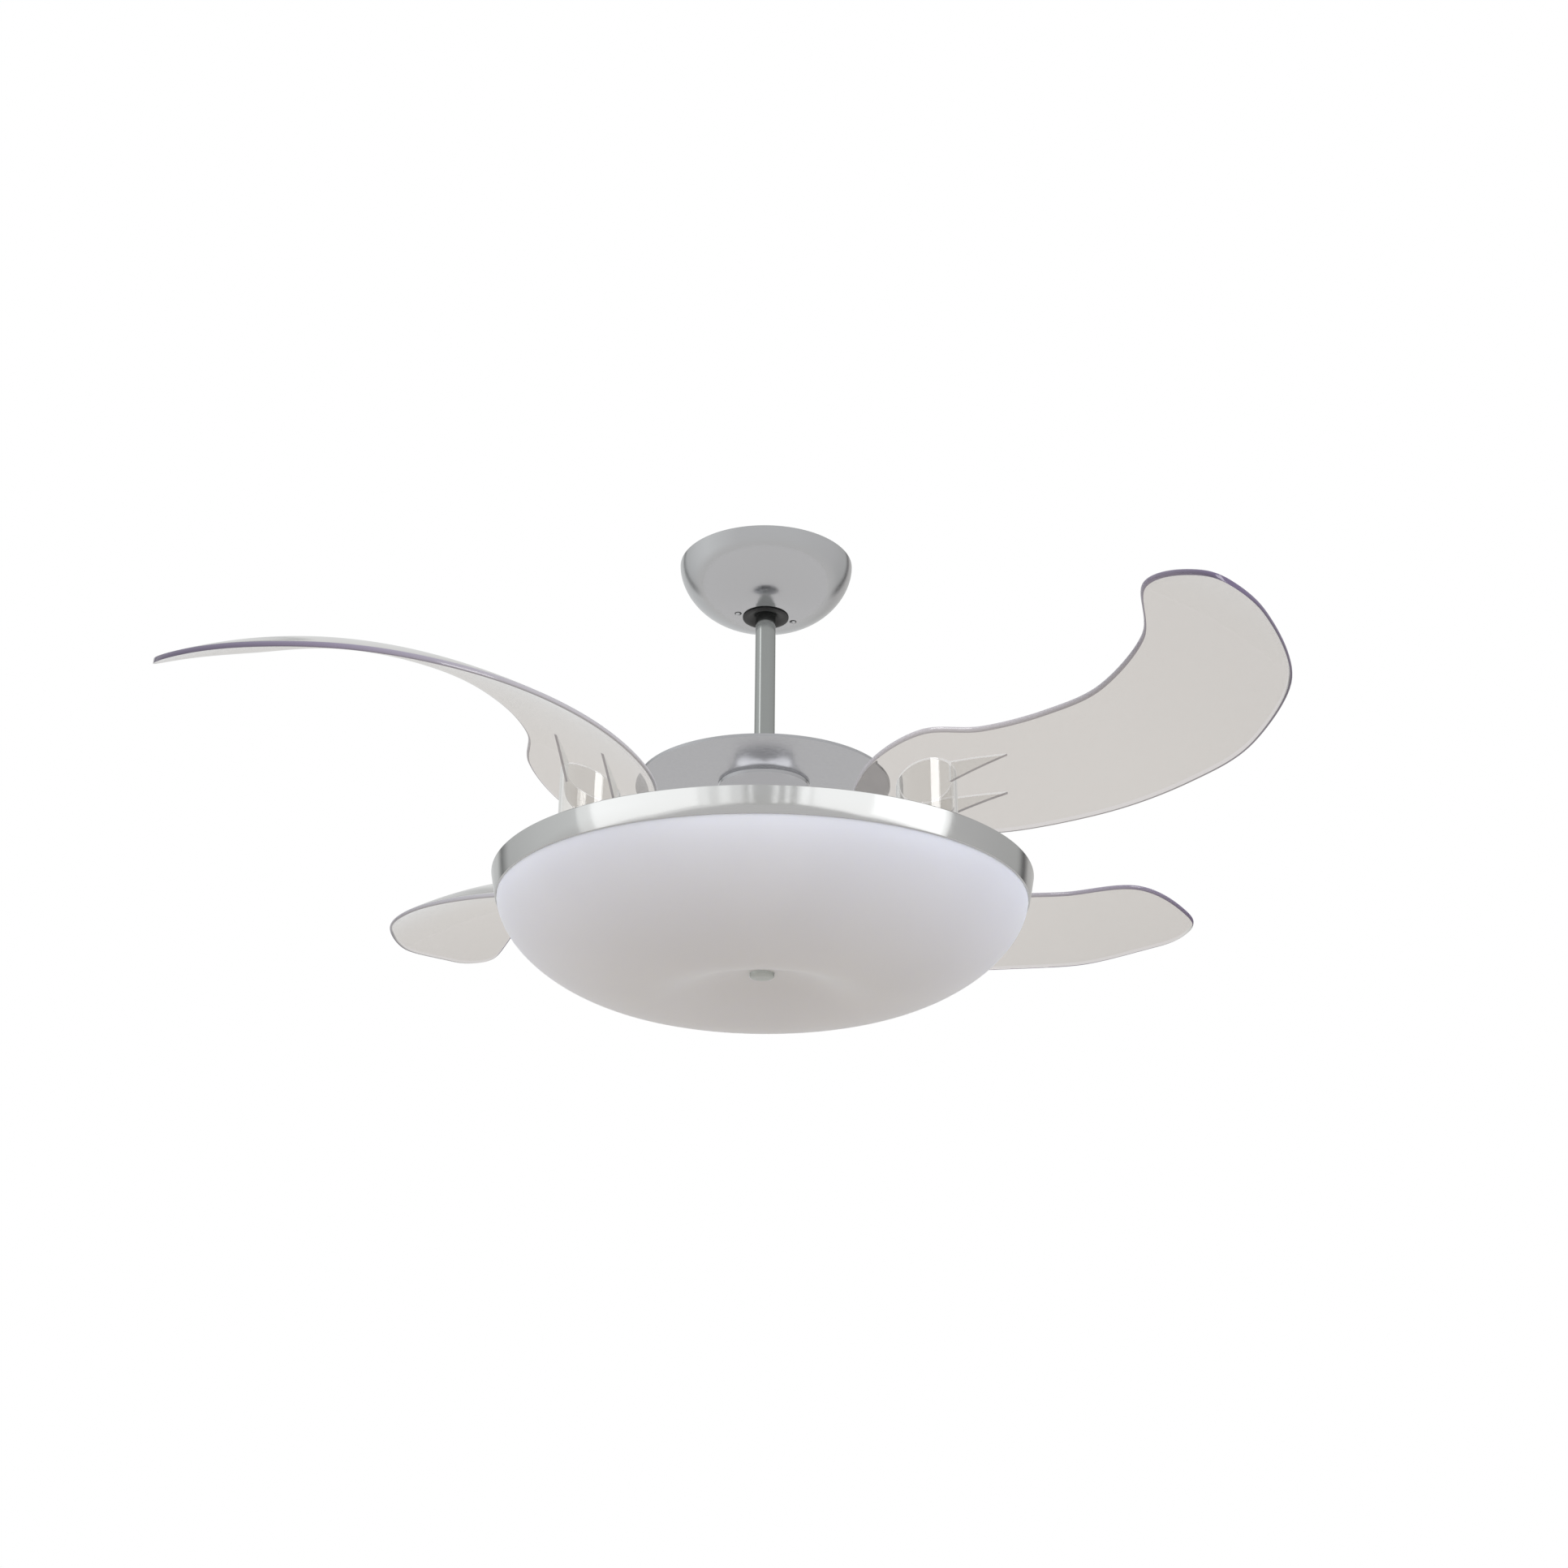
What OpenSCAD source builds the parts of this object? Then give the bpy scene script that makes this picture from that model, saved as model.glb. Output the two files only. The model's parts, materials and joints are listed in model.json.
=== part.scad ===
// Ceiling fan with four retractable blades and a bowl lamp.
// Origin: centre of the ceiling plate, on the ceiling. +Z is up, so the fan hangs below zero.
// Heights named *_h are measured up from the lower edge of the chrome trim ring.

/* [Suspension] */
// Ceiling to the lower edge of the trim ring
drop = 378; // [350:1:460]
// Outer diameter of the down rod
rod_d = 21; // [19:0.5:23]
// Wall of the down rod
rod_wall = 2; // [1.5:0.25:2.5]
// Diameter of the hanger ball
ball_d = 44; // [40:1:46]
// Diameter of the pins through the rod
pin_d = 5; // [4:0.5:6]
// Length of the lower pin past the coupling, on each side
pin_overhang = 2; // [1:0.5:4]

/* [Ceiling bracket] */
// Length of the ceiling bar
bar_l = 150; // [140:1:160]
// Width of the ceiling bar
bar_w = 36; // [30:1:44]
// Sheet thickness of the bracket
bracket_t = 2.5; // [2:0.25:3]
// Distance between the two ceiling screws
ceiling_hole_spacing = 120; // [100:1:130]
// Diameter of the ceiling screw holes
ceiling_hole_d = 6; // [4:0.5:8]
// Distance from the centre to the inner face of a bracket leg
leg_x = 28; // [26:1:32]
// Ceiling to the top of the cradle that holds the ball
cradle_depth = 45; // [42:1:48]
// Diameter of the cradle plate
cradle_d = 76; // [72:1:80]
// Diameter of the opening that the ball rests in
seat_d = 34; // [30:1:36]

/* [Canopy] */
// Diameter of the canopy at the ceiling
canopy_d = 181; // [176:1:200]
// Depth of the canopy
canopy_depth = 58; // [58:1:70]
// Diameter of the flat bottom of the canopy
canopy_flat_d = 60; // [50:1:76]
// How full the side of the canopy is
canopy_fullness = 1.8; // [1.7:0.05:2]
// Wall of the canopy
canopy_wall = 1.2; // [1:0.1:2]
// Outer diameter of the black ring under the canopy
collar_d = 48; // [44:1:50]
// Distance of the canopy screws from the centre
canopy_screw_r = 30; // [29:0.5:32]
// Direction of the two canopy screws
canopy_screw_angle = 17; // [0:1:40]

/* [Top cover] */
// Diameter of the top cover
cover_d = 252; // [230:1:270]
// Height of the rim of the top cover
cover_h = 129.5; // [120:0.5:140]
// Height of the upright lip at the rim
lip_h = 3; // [2.5:0.5:5]
// Rise of the cover from lip to apex
cover_rise = 40; // [38:1:50]
// How round the cover is, where 1 is a plain cone
cover_round = 1.27; // [1.2:0.01:1.4]
// Wall of the top cover
cover_wall = 1.2; // [1:0.1:2]
// Diameter of the neck flange under the cover plate
neck_d = 92; // [84:1:100]
// Diameter of the neck at its waist
neck_waist_d = 60; // [56:1:70]
// Height of the neck
neck_l = 32; // [28:1:34]
// Room between the neck and the motor housing
neck_gap = 8.3; // [6:0.1:10]

/* [Motor] */
// Outer diameter of the hollow shaft
shaft_d = 20; // [18:0.5:22]
// Bore of the hollow shaft
shaft_bore = 13; // [12.8:0.1:13.5]
// Step of the shaft that the bearings rest against
shaft_step = 2; // [1:0.5:3]
// Diameter of the coupling that joins rod and shaft
coupling_d = 52; // [48:1:56]
// Diameter of the motor housing
motor_d = 170; // [160:1:176]
// Overall height of the motor housing
motor_body = 54; // [52:1:56]
// Wall of the motor housing
motor_wall = 3; // [2:0.5:4]
// Width of the flange that joins the two halves of the motor housing
motor_flange = 8; // [7:0.5:10]
// Outer diameter of the two bearings
bearing_d = 42; // [40:1:47]
// Width of the two bearings
bearing_w = 12; // [10:1:14]
// Height of the stator stack
stator_t = 20; // [18:1:22]
// Radial thickness of the magnet ring
magnet_t = 8; // [6:0.5:9]
// Air gap between stator and magnets
air_gap = 1; // [0.6:0.1:1.5]
// Number of stator teeth
stator_teeth = 12; // [9:1:12]

/* [Blade carrier] */
// Height of the underside of the carrier disc
carrier_h = 12; // [11:0.5:14]
// Thickness of the carrier disc
carrier_t = 3; // [2.5:0.5:4]
// Room between the carrier disc and the trim ring
carrier_gap = 25.25; // [23:0.25:28]
// Distance of the blade pivots from the edge of the carrier disc
pivot_inset = 18; // [16:0.5:20]
// Direction of the first blade pivot
blade_angle = -47; // [-50:1:-40]
// Diameter of a pivot post
post_d = 16; // [14:1:18]

/* [Blade gearing] */
// Gear module
gear_module = 2; // [1.5:0.25:2]
// Teeth on each blade gear
gear_teeth = 24; // [22:2:26]
// Thickness of the gears
gear_t = 6; // [5:0.5:7]
// Free play between meshing teeth
backlash = 0.5; // [0.3:0.1:0.8]
// Room under the gears for the return springs
spring_space = 8; // [8:0.5:10]
// Wire of the return springs
spring_wire = 1.5; // [1.2:0.1:1.5]
// Turns of a return spring
spring_turns = 2.75; // [1.75:0.5:2.75]
// Angle that a blade folds through, from open to closed
fold_angle = 142; // [120:1:142]

/* [Blades] */
// Distance from a blade's pivot to its far end
blade_l = 390; // [375:1:396]
// Thickness of a blade
blade_t = 5; // [4:0.25:5]
// Diameter of the tube that carries a blade
tube_d = 56; // [52:1:58]
// Wall of the tube
tube_wall = 3; // [2.5:0.25:4]
// Height of the blade surface at mid span
blade_h = 121.4; // [121:0.1:126]
// Climb of the blade towards its tip
blade_climb = 27.3; // [26:0.1:29]
// Fall of the blade towards its trailing edge
blade_pitch = 25.7; // [25:0.1:27]
// Arch of the blade along its length
blade_arch = 48.9; // [48:0.1:50]
// Droop that the arch gains at the tip
blade_droop = 11.5; // [11:0.1:13]
// Twist of the blade along its length
blade_twist = 8.7; // [8:0.1:10]
// Hollow of the blade across its width
blade_camber = 12.4; // [12:0.1:13]
// Thickness of the two ribs under a blade
rib_t = 2.5; // [2:0.25:3]
// Depth of a rib at the tube
rib_depth = 22; // [16:1:26]
// Distance from the tube's centre to the end of a rib
rib_reach = 74; // [60:1:80]
// Direction of the ribs from the blade's long axis
rib_angle = 40; // [30:1:50]

/* [Trim ring] */
// Diameter of the trim ring at its upper edge
ring_d = 530; // [526:1:560]
// Diameter of the trim ring at its lower edge
ring_low_d = 521; // [520:1:525]
// Height of the trim ring
ring_t = 24; // [20:1:30]
// Wall of the trim ring
ring_wall = 1.5; // [1:0.25:2]
// Reach of the trim ring's inner flange past the rim of the shade
ring_flange = 7.2; // [7:0.1:9]

/* [Lamp] */
// Height of the underside of the lamp pan
pan_h = 5; // [4:0.5:6]
// Sheet thickness of the lamp pan
pan_t = 1.5; // [1:0.25:2]
// Depth of the shade below the trim ring
shade_depth = 92; // [88:1:110]
// Distance of the lowest ring of the shade from its centre
crest_r = 115; // [100:1:125]
// How full the side of the shade is
shade_fullness = 1.72; // [1.6:0.02:2]
// Radius of the level floor of the dimple
dimple_r = 14; // [14:1:20]
// Height of the dimple above the lowest ring
dimple_rise = 26; // [20:1:30]
// Wall of the shade
shade_wall = 3; // [2:0.5:4]
// Diameter of the cap nut under the shade
finial_d = 24; // [20:1:30]
// Height of the cap nut
finial_t = 5; // [4:0.5:8]
// Diameter of the threaded rod that holds the shade
stud_d = 10; // [8:0.5:11]
// Number of lamps
lamps = 3; // [2:1:3]
// Diameter of a lamp bulb
bulb_d = 60; // [50:1:60]
// Diameter of a lamp cap
cap_d = 26.4; // [26:0.1:27]
// Diameter of a lamp holder
holder_d = 40; // [36:1:42]
// Length of a lamp holder
holder_l = 38; // [34:1:42]
// Distance of the lamp axis below the pan
lamp_drop = 32; // [32:1:36]

/* [Clearances] */
// Radial clearance of fixed and running fits
fit = 0.05; // [0.03:0.01:0.08]
// Gap between parts that pass each other
gap = 0.3; // [0.3:0.05:0.5]

/* [Hidden] */
$fn = 96;

cut = 1;                                   // how far a cutting tool passes a face
blades = 4;
blade_step = 360 / blades;

// Ball and rod
ball_r = ball_d / 2;
rod_r = rod_d / 2;
rod_bore_r = rod_r - rod_wall;
ball_z = -cradle_depth + fit + sqrt(pow(ball_r, 2) - pow(seat_d / 2, 2));
rod_top_z = ball_z + ball_r * 0.8;

// Canopy fasteners and boxes
m4_r = 2;
m4_head_r = 3.6;
m4_head_t = 2.4;
wing_l = 44;

// Coupling, shaft and cover
cover_top_r = rod_r + 1;
lip_top_h = cover_h + lip_h;
plate_t = 1.2;
plate_h = cover_h + 0.8;
plate_top_h = plate_h + plate_t;
plate_r = cover_d / 2 - cover_wall - gap;
neck_h = plate_h - neck_l;
neck_flange_t = 4;
plate_screw_r = 36;
coupling_h = plate_top_h;
coupling_top_h = cover_inner_h(coupling_d / 2) - fit;
coupling_l = coupling_top_h - coupling_h;
web_h = coupling_h + 16;
web_t = 2;
rod_end_h = web_h + web_t;
rod_pin_h = (rod_end_h + coupling_top_h) / 2;
shaft_r = shaft_d / 2;
shaft_below_pan = 12;
nut_t = 10;
nut_flats = 30;
cover_screw_r = 19;

// Motor
motor_r = motor_d / 2;
motor_top_h = neck_h - neck_gap;
motor_h = motor_top_h - motor_body;
motor_mid_h = motor_h + motor_body / 2 - 1;
bearing_r = bearing_d / 2;
bearing_lip = 2;
low_bearing_h = motor_h + 1;
top_bearing_h = motor_top_h - bearing_lip - gap - bearing_w;
pocket_r = bearing_r + 5;
magnet_r = motor_r - motor_wall - fit;
stator_r = magnet_r - magnet_t - air_gap;
stator_h = motor_mid_h - stator_t / 2;
shell_screw_r = motor_r + motor_flange / 2;
shell_screws = 6;
tooth_w = 12;
yoke_r = 32;
shoe_t = 7;
coil_t = 3;
coil_rise = 4;

// Trim ring
ring_r = ring_d / 2;
ring_low_r = ring_low_d / 2;

// Carrier, gears and pivots
carrier_top_h = carrier_h + carrier_t;
carrier_r = ring_clear_r(carrier_h, carrier_top_h) - carrier_gap;
pivot_r = carrier_r - pivot_inset;
ear_r = tube_d / 2 + 1;
hub_wall = 4;
hub_top_r = 56;
hub_low_r = 60;
shell_bolt_r = 40;
hub_foot_r = shell_bolt_r + m4_head_r + gap;
hub_bolt_r = (hub_foot_r + hub_low_r - 2 * hub_wall) / 2;
carrier_bore_r = 36;
gear_h = carrier_top_h + spring_space;
gear_top_h = gear_h + gear_t;
flange_t = 3;
tube_h = gear_top_h + flange_t;
gear_r = gear_module * gear_teeth / 2;
sync_r = pivot_r - gear_r;
tooth_step = gear_module * 180 / sync_r;
sync_turn = fold_angle * gear_r / sync_r;
teeth_behind = ceil(fold_angle * gear_teeth / 360) + 2;
teeth_ahead = 2;
pressure_angle = 20;
root_depth = 1.25 * gear_module;
guide_core_r = 6;
guide_flange_r = 9;
guide_flange_t = 2;
guides = 8;
guide_start = 30;
sync_band = 12;
sync_in_r = sync_r - root_depth - sync_band;
guide_r = sync_in_r - gap - guide_core_r;
lug_half_w = 4;
bumper_r = 4;
bumper_angle = asin((lug_half_w + bumper_r + gap) / guide_r);
sleeve_r = 12;
spring_r = sleeve_r + 3.5;
spring_pitch = spring_wire + 0.5;
spring_leg = 12;
base_t = 3;
blade_screw_r = 17;
m3_r = 1.6;
m3_head_r = 3.2;
m3_head_t = 2.5;
pivot_cap_t = 2;

// Blade plan: points round the edge of a blade 390 mm long, from the pivot, x outward and
// y towards the trailing edge
plan_scale = blade_l / 390;
edge_points = plan_scale * [
    [-47, -48], [-8, -63], [37, -48], [71, -5], [123, 21], [182, 25],
    [253, -12], [304, -80], [364, -101], [386, -91], [388, -42], [351, 50],
    [269, 121], [188, 145], [101, 140], [14, 103], [-45, 43], [-67, -9]];
edge_count = len(edge_points);
tip_index = 9;
mid_x = 160 * plan_scale;
length_unit = 200 * plan_scale;
width_unit = 100 * plan_scale;
stations = 36;
chord_cells = 6;
end_trim = 0.12;
rib_offsets = [-17, 26];

// Lamp
pan_top_h = pan_h + pan_t;
pan_r = ring_clear_r(pan_h, pan_top_h) - 2 * gap;
shade_r = ring_clear_r(0, pan_h) - 2 * gap;
ring_flange_r = shade_r - shade_wall - ring_flange;
ring_bolt_r = ring_flange_r + 3;
floor_h = -shade_depth + dimple_rise;
shade_floor_h = floor_h + shade_wall;
washer_t = 2;
bridge_h = -26;
bridge_x = 42;
bridge_w = 20;
bridge_t = 2;
lamp_axis_h = pan_h - lamp_drop;
holder_start = 64;
bracket_plate_t = 2;
lamp_start_angle = 90;
cap_l = 24;
cap_start = holder_start + holder_l - cap_l;
bulb_l = 105;
bulb_r = bulb_d / 2;
bulb_centre = cap_start + bulb_l - bulb_r;

// Wiring: the loom down the rod and the shaft, and the leads of the lamps
loom_d = 3.4;
loom_y = -4.6;
lead_d = 2.4;
wire_sides = 8;
terminal_y = -32;

// ---------------------------------------------------------------- functions

// Height of the inner face of the top cover at radius r
function cover_inner_h(r) =
    lip_top_h + cover_rise * (1 - pow(r / (cover_d / 2), cover_round)) - cover_wall;

// Inner radius of the trim ring at height h
function ring_inner_r(h) = ring_low_r - ring_wall + (ring_r - ring_low_r) * h / ring_t;

// Narrowest inner radius of the trim ring between two heights
function ring_clear_r(low_h, high_h) = min(ring_inner_r(low_h), ring_inner_r(high_h));

// Quarter of a full-sided oval in a half section, from [wide, 0] in to [narrow, depth]
function side_curve(wide, narrow, depth, fullness, steps) =
    [for (i = [0 : steps]) let (a = 90 * i / steps)
        [narrow + (wide - narrow) * pow(cos(a), 2 / fullness), depth * pow(sin(a), 2 / fullness)]];

// Smooth curve through four points, at fraction t between the second and the third
function through(a, b, c, d, t) =
    0.5 * (2 * b + (c - a) * t + (2 * a - 5 * b + 4 * c - d) * t * t
           + (3 * b - a - 3 * c + d) * t * t * t);

// Point on the blade's closed edge, s counts control points
function edge_at(s) =
    let (i = floor(s), n = edge_count)
    through(edge_points[(i + n - 1) % n], edge_points[i % n], edge_points[(i + 1) % n],
            edge_points[(i + 2) % n], s - i);

// Height of the middle of the blade sheet at p
function sheet_h(p) =
    let (u = (p[0] - mid_x) / length_unit, v = p[1] / width_unit)
    blade_h + blade_climb * u - blade_pitch * v - blade_arch * u * u - blade_twist * u * v
    - blade_camber * v * v - blade_droop * u * u * u;

// Closed section of the sheet between edge points a and b: over the top, back underneath
function sheet_section(a, b) =
    let (half = blade_t / 2, run = (b - a) / norm(b - a),
         rim = [[1, -1], [0.3, -0.7], [0, 0], [0.3, 0.7], [1, 1]],
         inner_a = a + run * half, inner_b = b - run * half)
    concat(
        [for (e = rim) let (p = a + run * half * e[0]) [p[0], p[1], sheet_h(p) + half * e[1]]],
        [for (j = [1 : chord_cells - 1])
            let (p = inner_a + (inner_b - inner_a) * j / chord_cells)
            [p[0], p[1], sheet_h(p) + half]],
        [for (k = [4 : -1 : 0])
            let (p = b - run * half * rim[k][0]) [p[0], p[1], sheet_h(p) + half * rim[k][1]]],
        [for (j = [chord_cells - 1 : -1 : 1])
            let (p = inner_a + (inner_b - inner_a) * j / chord_cells)
            [p[0], p[1], sheet_h(p) - half]]);

// Half angle of a gear tooth at radius rho, for a gear of pitch radius r
function involute(a) = tan(a) * 180 / PI - a;
function tooth_half(r, rho) =
    let (base = r * cos(pressure_angle), at = max(rho, base))
    (PI * gear_module / 2 - backlash / 2) / (2 * r) * 180 / PI
    + involute(pressure_angle) - involute(acos(base / at));

function polar(r, a) = [r * cos(a), r * sin(a)];

// Outline of one tooth, in order of rising angle
function tooth(r, a) =
    let (low = r - root_depth, radii = [low, r - gear_module / 2, r, r + gear_module / 2, r + gear_module])
    concat([for (rho = radii) polar(rho, a - tooth_half(r, rho))],
           [for (k = [len(radii) - 1 : -1 : 0]) polar(radii[k], a + tooth_half(r, radii[k]))]);

// ---------------------------------------------------------------- shared shapes

module at_height(h) { translate([0, 0, h - drop]) children(); }

module ring_of(count, r, start = 0) {
    for (i = [0 : count - 1]) rotate([0, 0, start + 360 * i / count]) translate([r, 0, 0]) children();
}

module tube(outer_r, inner_r, length) {
    difference() {
        cylinder(r = outer_r, h = length);
        translate([0, 0, -cut]) cylinder(r = inner_r, h = length + 2 * cut);
    }
}

// Screw that points up from its head, the head's underside at zero
module screw_up(shank_r, shank_l, head_r, head_t) {
    cylinder(r = shank_r, h = shank_l, $fn = 32);
    translate([0, 0, -head_t]) cylinder(r = head_r, h = head_t, $fn = 32);
}

module at_pivot(index, h) {
    rotate([0, 0, blade_angle + blade_step * (index - 1)]) translate([pivot_r, 0, h - drop]) children();
}

// Tube swept along a list of points
module swept_tube(points, diameter, sides) {
    last = len(points) - 1;
    function heading(i) =
        let (d = points[min(i + 1, last)] - points[max(i - 1, 0)]) d / norm(d);
    function side_of(d) = let (s = cross(d, abs(d[0]) > 0.9 ? [0, 1, 0] : [1, 0, 0])) s / norm(s);
    rings = [for (i = [0 : last]) let (d = heading(i), s = side_of(d), t = cross(d, s))
        for (j = [0 : sides - 1])
            points[i] + diameter / 2 * (s * cos(360 * j / sides) + t * sin(360 * j / sides))];
    walls = [for (i = [0 : last - 1]) for (j = [0 : sides - 1])
        let (a = i * sides + j, b = i * sides + (j + 1) % sides)
        each [[a, a + sides, b + sides], [a, b + sides, b]]];
    lids = [for (j = [1 : sides - 2]) each
        [[0, j, j + 1], [last * sides, last * sides + j + 1, last * sides + j]]];
    polyhedron(points = rings, faces = concat(walls, lids));
}

// ---------------------------------------------------------------- ceiling bracket and ball

module ceiling_bracket() color("gainsboro") {
    difference() {
        union() {
            translate([-bar_l / 2, -bar_w / 2, -bracket_t]) cube([bar_l, bar_w, bracket_t]);
            translate([-leg_x, -bar_w / 2 - wing_l, -bracket_t])
                cube([2 * leg_x, bar_w + 2 * wing_l, bracket_t]);
        }
        for (s = [-1, 1]) translate([s * ceiling_hole_spacing / 2, 0, -bracket_t - cut])
            cylinder(d = ceiling_hole_d, h = bracket_t + 2 * cut);
    }
    difference() {
        union() {
            for (x = [-leg_x - bracket_t, leg_x]) translate([x, -bar_w / 2, -cradle_depth - bracket_t])
                cube([bracket_t, bar_w, cradle_depth + bracket_t]);
            translate([0, 0, -cradle_depth - bracket_t]) cylinder(d = cradle_d, h = bracket_t);
            for (s = [0, 180]) rotate([0, 0, canopy_screw_angle + s]) translate([canopy_screw_r, 0, 0])
                translate([0, 0, -canopy_depth + canopy_wall + gap])
                    cylinder(r = m4_r + 2, h = canopy_depth - canopy_wall - gap - cradle_depth);
        }
        translate([0, 0, -cradle_depth - bracket_t - cut]) cylinder(d = seat_d, h = bracket_t + 2 * cut);
        for (s = [0, 180]) rotate([0, 0, canopy_screw_angle + s])
            translate([canopy_screw_r, 0, -canopy_depth - cut])
                cylinder(r = m4_r + fit, h = canopy_depth - cradle_depth + 2 * cut);
    }
}

module hanger_ball() color("dimgray") translate([0, 0, ball_z]) difference() {
    sphere(r = ball_r);
    translate([0, 0, -ball_r - cut]) cylinder(r = rod_r + fit, h = 2 * (ball_r + cut));
    rotate([0, 90, 0]) cylinder(r = pin_d / 2 + fit, h = 2 * (ball_r + cut), center = true);
}

module hanger_pin() color("silver") translate([0, 0, ball_z]) rotate([0, 90, 0])
    cylinder(d = pin_d, h = 2 * ball_r - 6, center = true);

module down_rod() color("silver") difference() {
    translate([0, 0, rod_end_h - drop]) cylinder(r = rod_r, h = rod_top_z - rod_end_h + drop);
    translate([0, 0, rod_end_h - drop - cut])
        cylinder(r = rod_bore_r, h = rod_top_z - rod_end_h + drop + 2 * cut);
    for (z = [ball_z, rod_pin_h - drop]) translate([0, 0, z]) rotate([0, 90, 0])
        cylinder(r = pin_d / 2 + fit, h = 2 * rod_d, center = true);
}

// ---------------------------------------------------------------- canopy and its contents

module canopy() color("silver") difference() {
    outer = side_curve(canopy_d / 2, canopy_flat_d / 2, -canopy_depth, canopy_fullness, 18);
    inner = side_curve(canopy_d / 2 - canopy_wall, canopy_flat_d / 2, -canopy_depth + canopy_wall,
                       canopy_fullness, 18);
    hole_r = seat_d / 2;
    rotate_extrude() polygon(concat(outer, [[hole_r, -canopy_depth], [hole_r, -canopy_depth + canopy_wall]],
                                    [for (i = [len(inner) - 1 : -1 : 0]) inner[i]]));
    for (s = [0, 180]) rotate([0, 0, canopy_screw_angle + s])
        translate([canopy_screw_r, 0, -canopy_depth - cut])
            cylinder(r = m4_r + fit, h = canopy_wall + 2 * cut);
}

module canopy_collar() color("black") translate([0, 0, -canopy_depth]) {
    rise = 4;
    rotate_extrude() polygon([[rod_r + gap, rise], [seat_d / 2 - gap, rise], [seat_d / 2 - gap, 0],
                              [collar_d / 2, 0], [collar_d / 2, -1.5], [seat_d / 2 + 1, -2],
                              [rod_r + 3, 0.5], [rod_r + gap, 1.5]]);
}

module canopy_screws() color("silver") for (s = [0, 180])
    rotate([0, 0, canopy_screw_angle + s]) translate([canopy_screw_r, 0, -canopy_depth]) {
        cylinder(r = m4_r, h = canopy_depth - cradle_depth - 2, $fn = 32);
        intersection() {
            translate([0, 0, 0.6]) sphere(r = m4_head_r);
            translate([0, 0, -m4_head_r]) cylinder(r = m4_head_r, h = m4_head_r);
        }
    }

module receiver_box() color("whitesmoke") {
    box_y = bar_w / 2 + 6;
    box_l = wing_l - 8;
    box_h = 26;
    translate([-leg_x, box_y, -bracket_t - box_h]) cube([2 * leg_x, box_l, box_h]);
}

module terminal_block() color("ivory") {
    block = [40, 20, 18];
    translate([-block[0] / 2, -bar_w / 2 - 8 - block[1], -bracket_t - block[2]]) cube(block);
}

module wiring() color("dimgray") {
    block_y = -bar_w / 2 - 8;
    ball_top = ball_z + ball_r;
    out_z = pan_h - shaft_below_pan - drop;
    loom = [[0, block_y + gap, ball_top - 1], [0, block_y + 5, ball_top - 1], [0, -16, ball_top + 1.5],
            [0, -12, ball_top + 2.9], [0, -8, ball_top + 2.5], [0, loom_y - 0.8, ball_top - 0.5],
            [0, loom_y, ball_top - 5], [0, loom_y, ball_top - 12], [0, loom_y, out_z + 6],
            [0, loom_y, out_z - 2], [0, loom_y - 2, out_z - 5], [0, loom_y - 6, out_z - 7],
            [0, loom_y - 12, out_z - 7], [0, loom_y - 18, out_z - 3], [0, terminal_y + 5, out_z + 3],
            [0, terminal_y + gap, out_z + 3]];
    swept_tube(loom, loom_d, wire_sides);
    lead_z = pan_h - 4 - drop;
    top_z = lamp_axis_h + holder_d / 2 - drop;
    side_lead = [[18 + gap, -42, lead_z], [24, -42, lead_z], [40, -43, lead_z], [48, -45.5, lead_z],
                 [55, -48.5, lead_z - 0.5], [60, -45, lead_z - 2], [61, -41, lead_z - 4.5],
                 [61, -40, top_z + gap]];
    for (s = [-1, 1])
        swept_tube([for (p = side_lead) [s * p[0], p[1], p[2]]], lead_d, wire_sides);
    back_y = holder_start + 10;
    back_lead = [[18 + gap, -36, lead_z], [22, -36, lead_z], [27, -30, lead_z], [29, -18, lead_z],
                 [29, 0, lead_z], [29, 18, lead_z], [24, back_y - 32, lead_z], [17, back_y - 16, lead_z],
                 [14, back_y - 6, lead_z], [10, back_y - 1, lead_z - 1], [5, back_y, lead_z - 4],
                 [4, back_y, top_z + gap]];
    swept_tube(back_lead, lead_d, wire_sides);
}

// ---------------------------------------------------------------- coupling and top cover

module rod_coupling() color("silver") at_height(coupling_h) difference() {
    cylinder(d = coupling_d, h = coupling_l);
    translate([0, 0, -cut]) cylinder(r = shaft_r + fit, h = web_h - coupling_h + cut);
    cylinder(r = shaft_bore / 2, h = coupling_l);
    translate([0, 0, rod_end_h - coupling_h]) cylinder(r = rod_r + fit, h = coupling_l);
    translate([0, 0, rod_pin_h - coupling_h]) rotate([0, 90, 0])
        cylinder(r = pin_d / 2 + fit, h = coupling_d + 2 * cut, center = true);
    rotate([0, 0, 30]) ring_of(3, cover_screw_r) translate([0, 0, coupling_l - 8])
        cylinder(r = m3_r + fit, h = 8 + cut, $fn = 32);
}

module coupling_pin() color("silver") at_height(rod_pin_h) rotate([0, 90, 0])
    cylinder(d = pin_d, h = coupling_d + 2 * pin_overhang, center = true);

module top_cover() color("silver") difference() {
    steps = 20;
    edge_r = cover_d / 2;
    outer = [for (i = [0 : steps]) let (r = edge_r + (cover_top_r - edge_r) * i / steps)
        [r, cover_inner_h(r) + cover_wall]];
    at_height(0) rotate_extrude() polygon(concat(
        [[edge_r, cover_h]], outer,
        [for (i = [steps : -1 : 1]) outer[i] - [0, cover_wall]],
        [[edge_r - cover_wall, lip_top_h - cover_wall / 2], [edge_r - cover_wall, cover_h]]));
    at_height(coupling_top_h - 4) rotate([0, 0, 30]) ring_of(3, cover_screw_r)
        cylinder(r = m3_r + fit, h = 12, $fn = 32);
}

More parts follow.
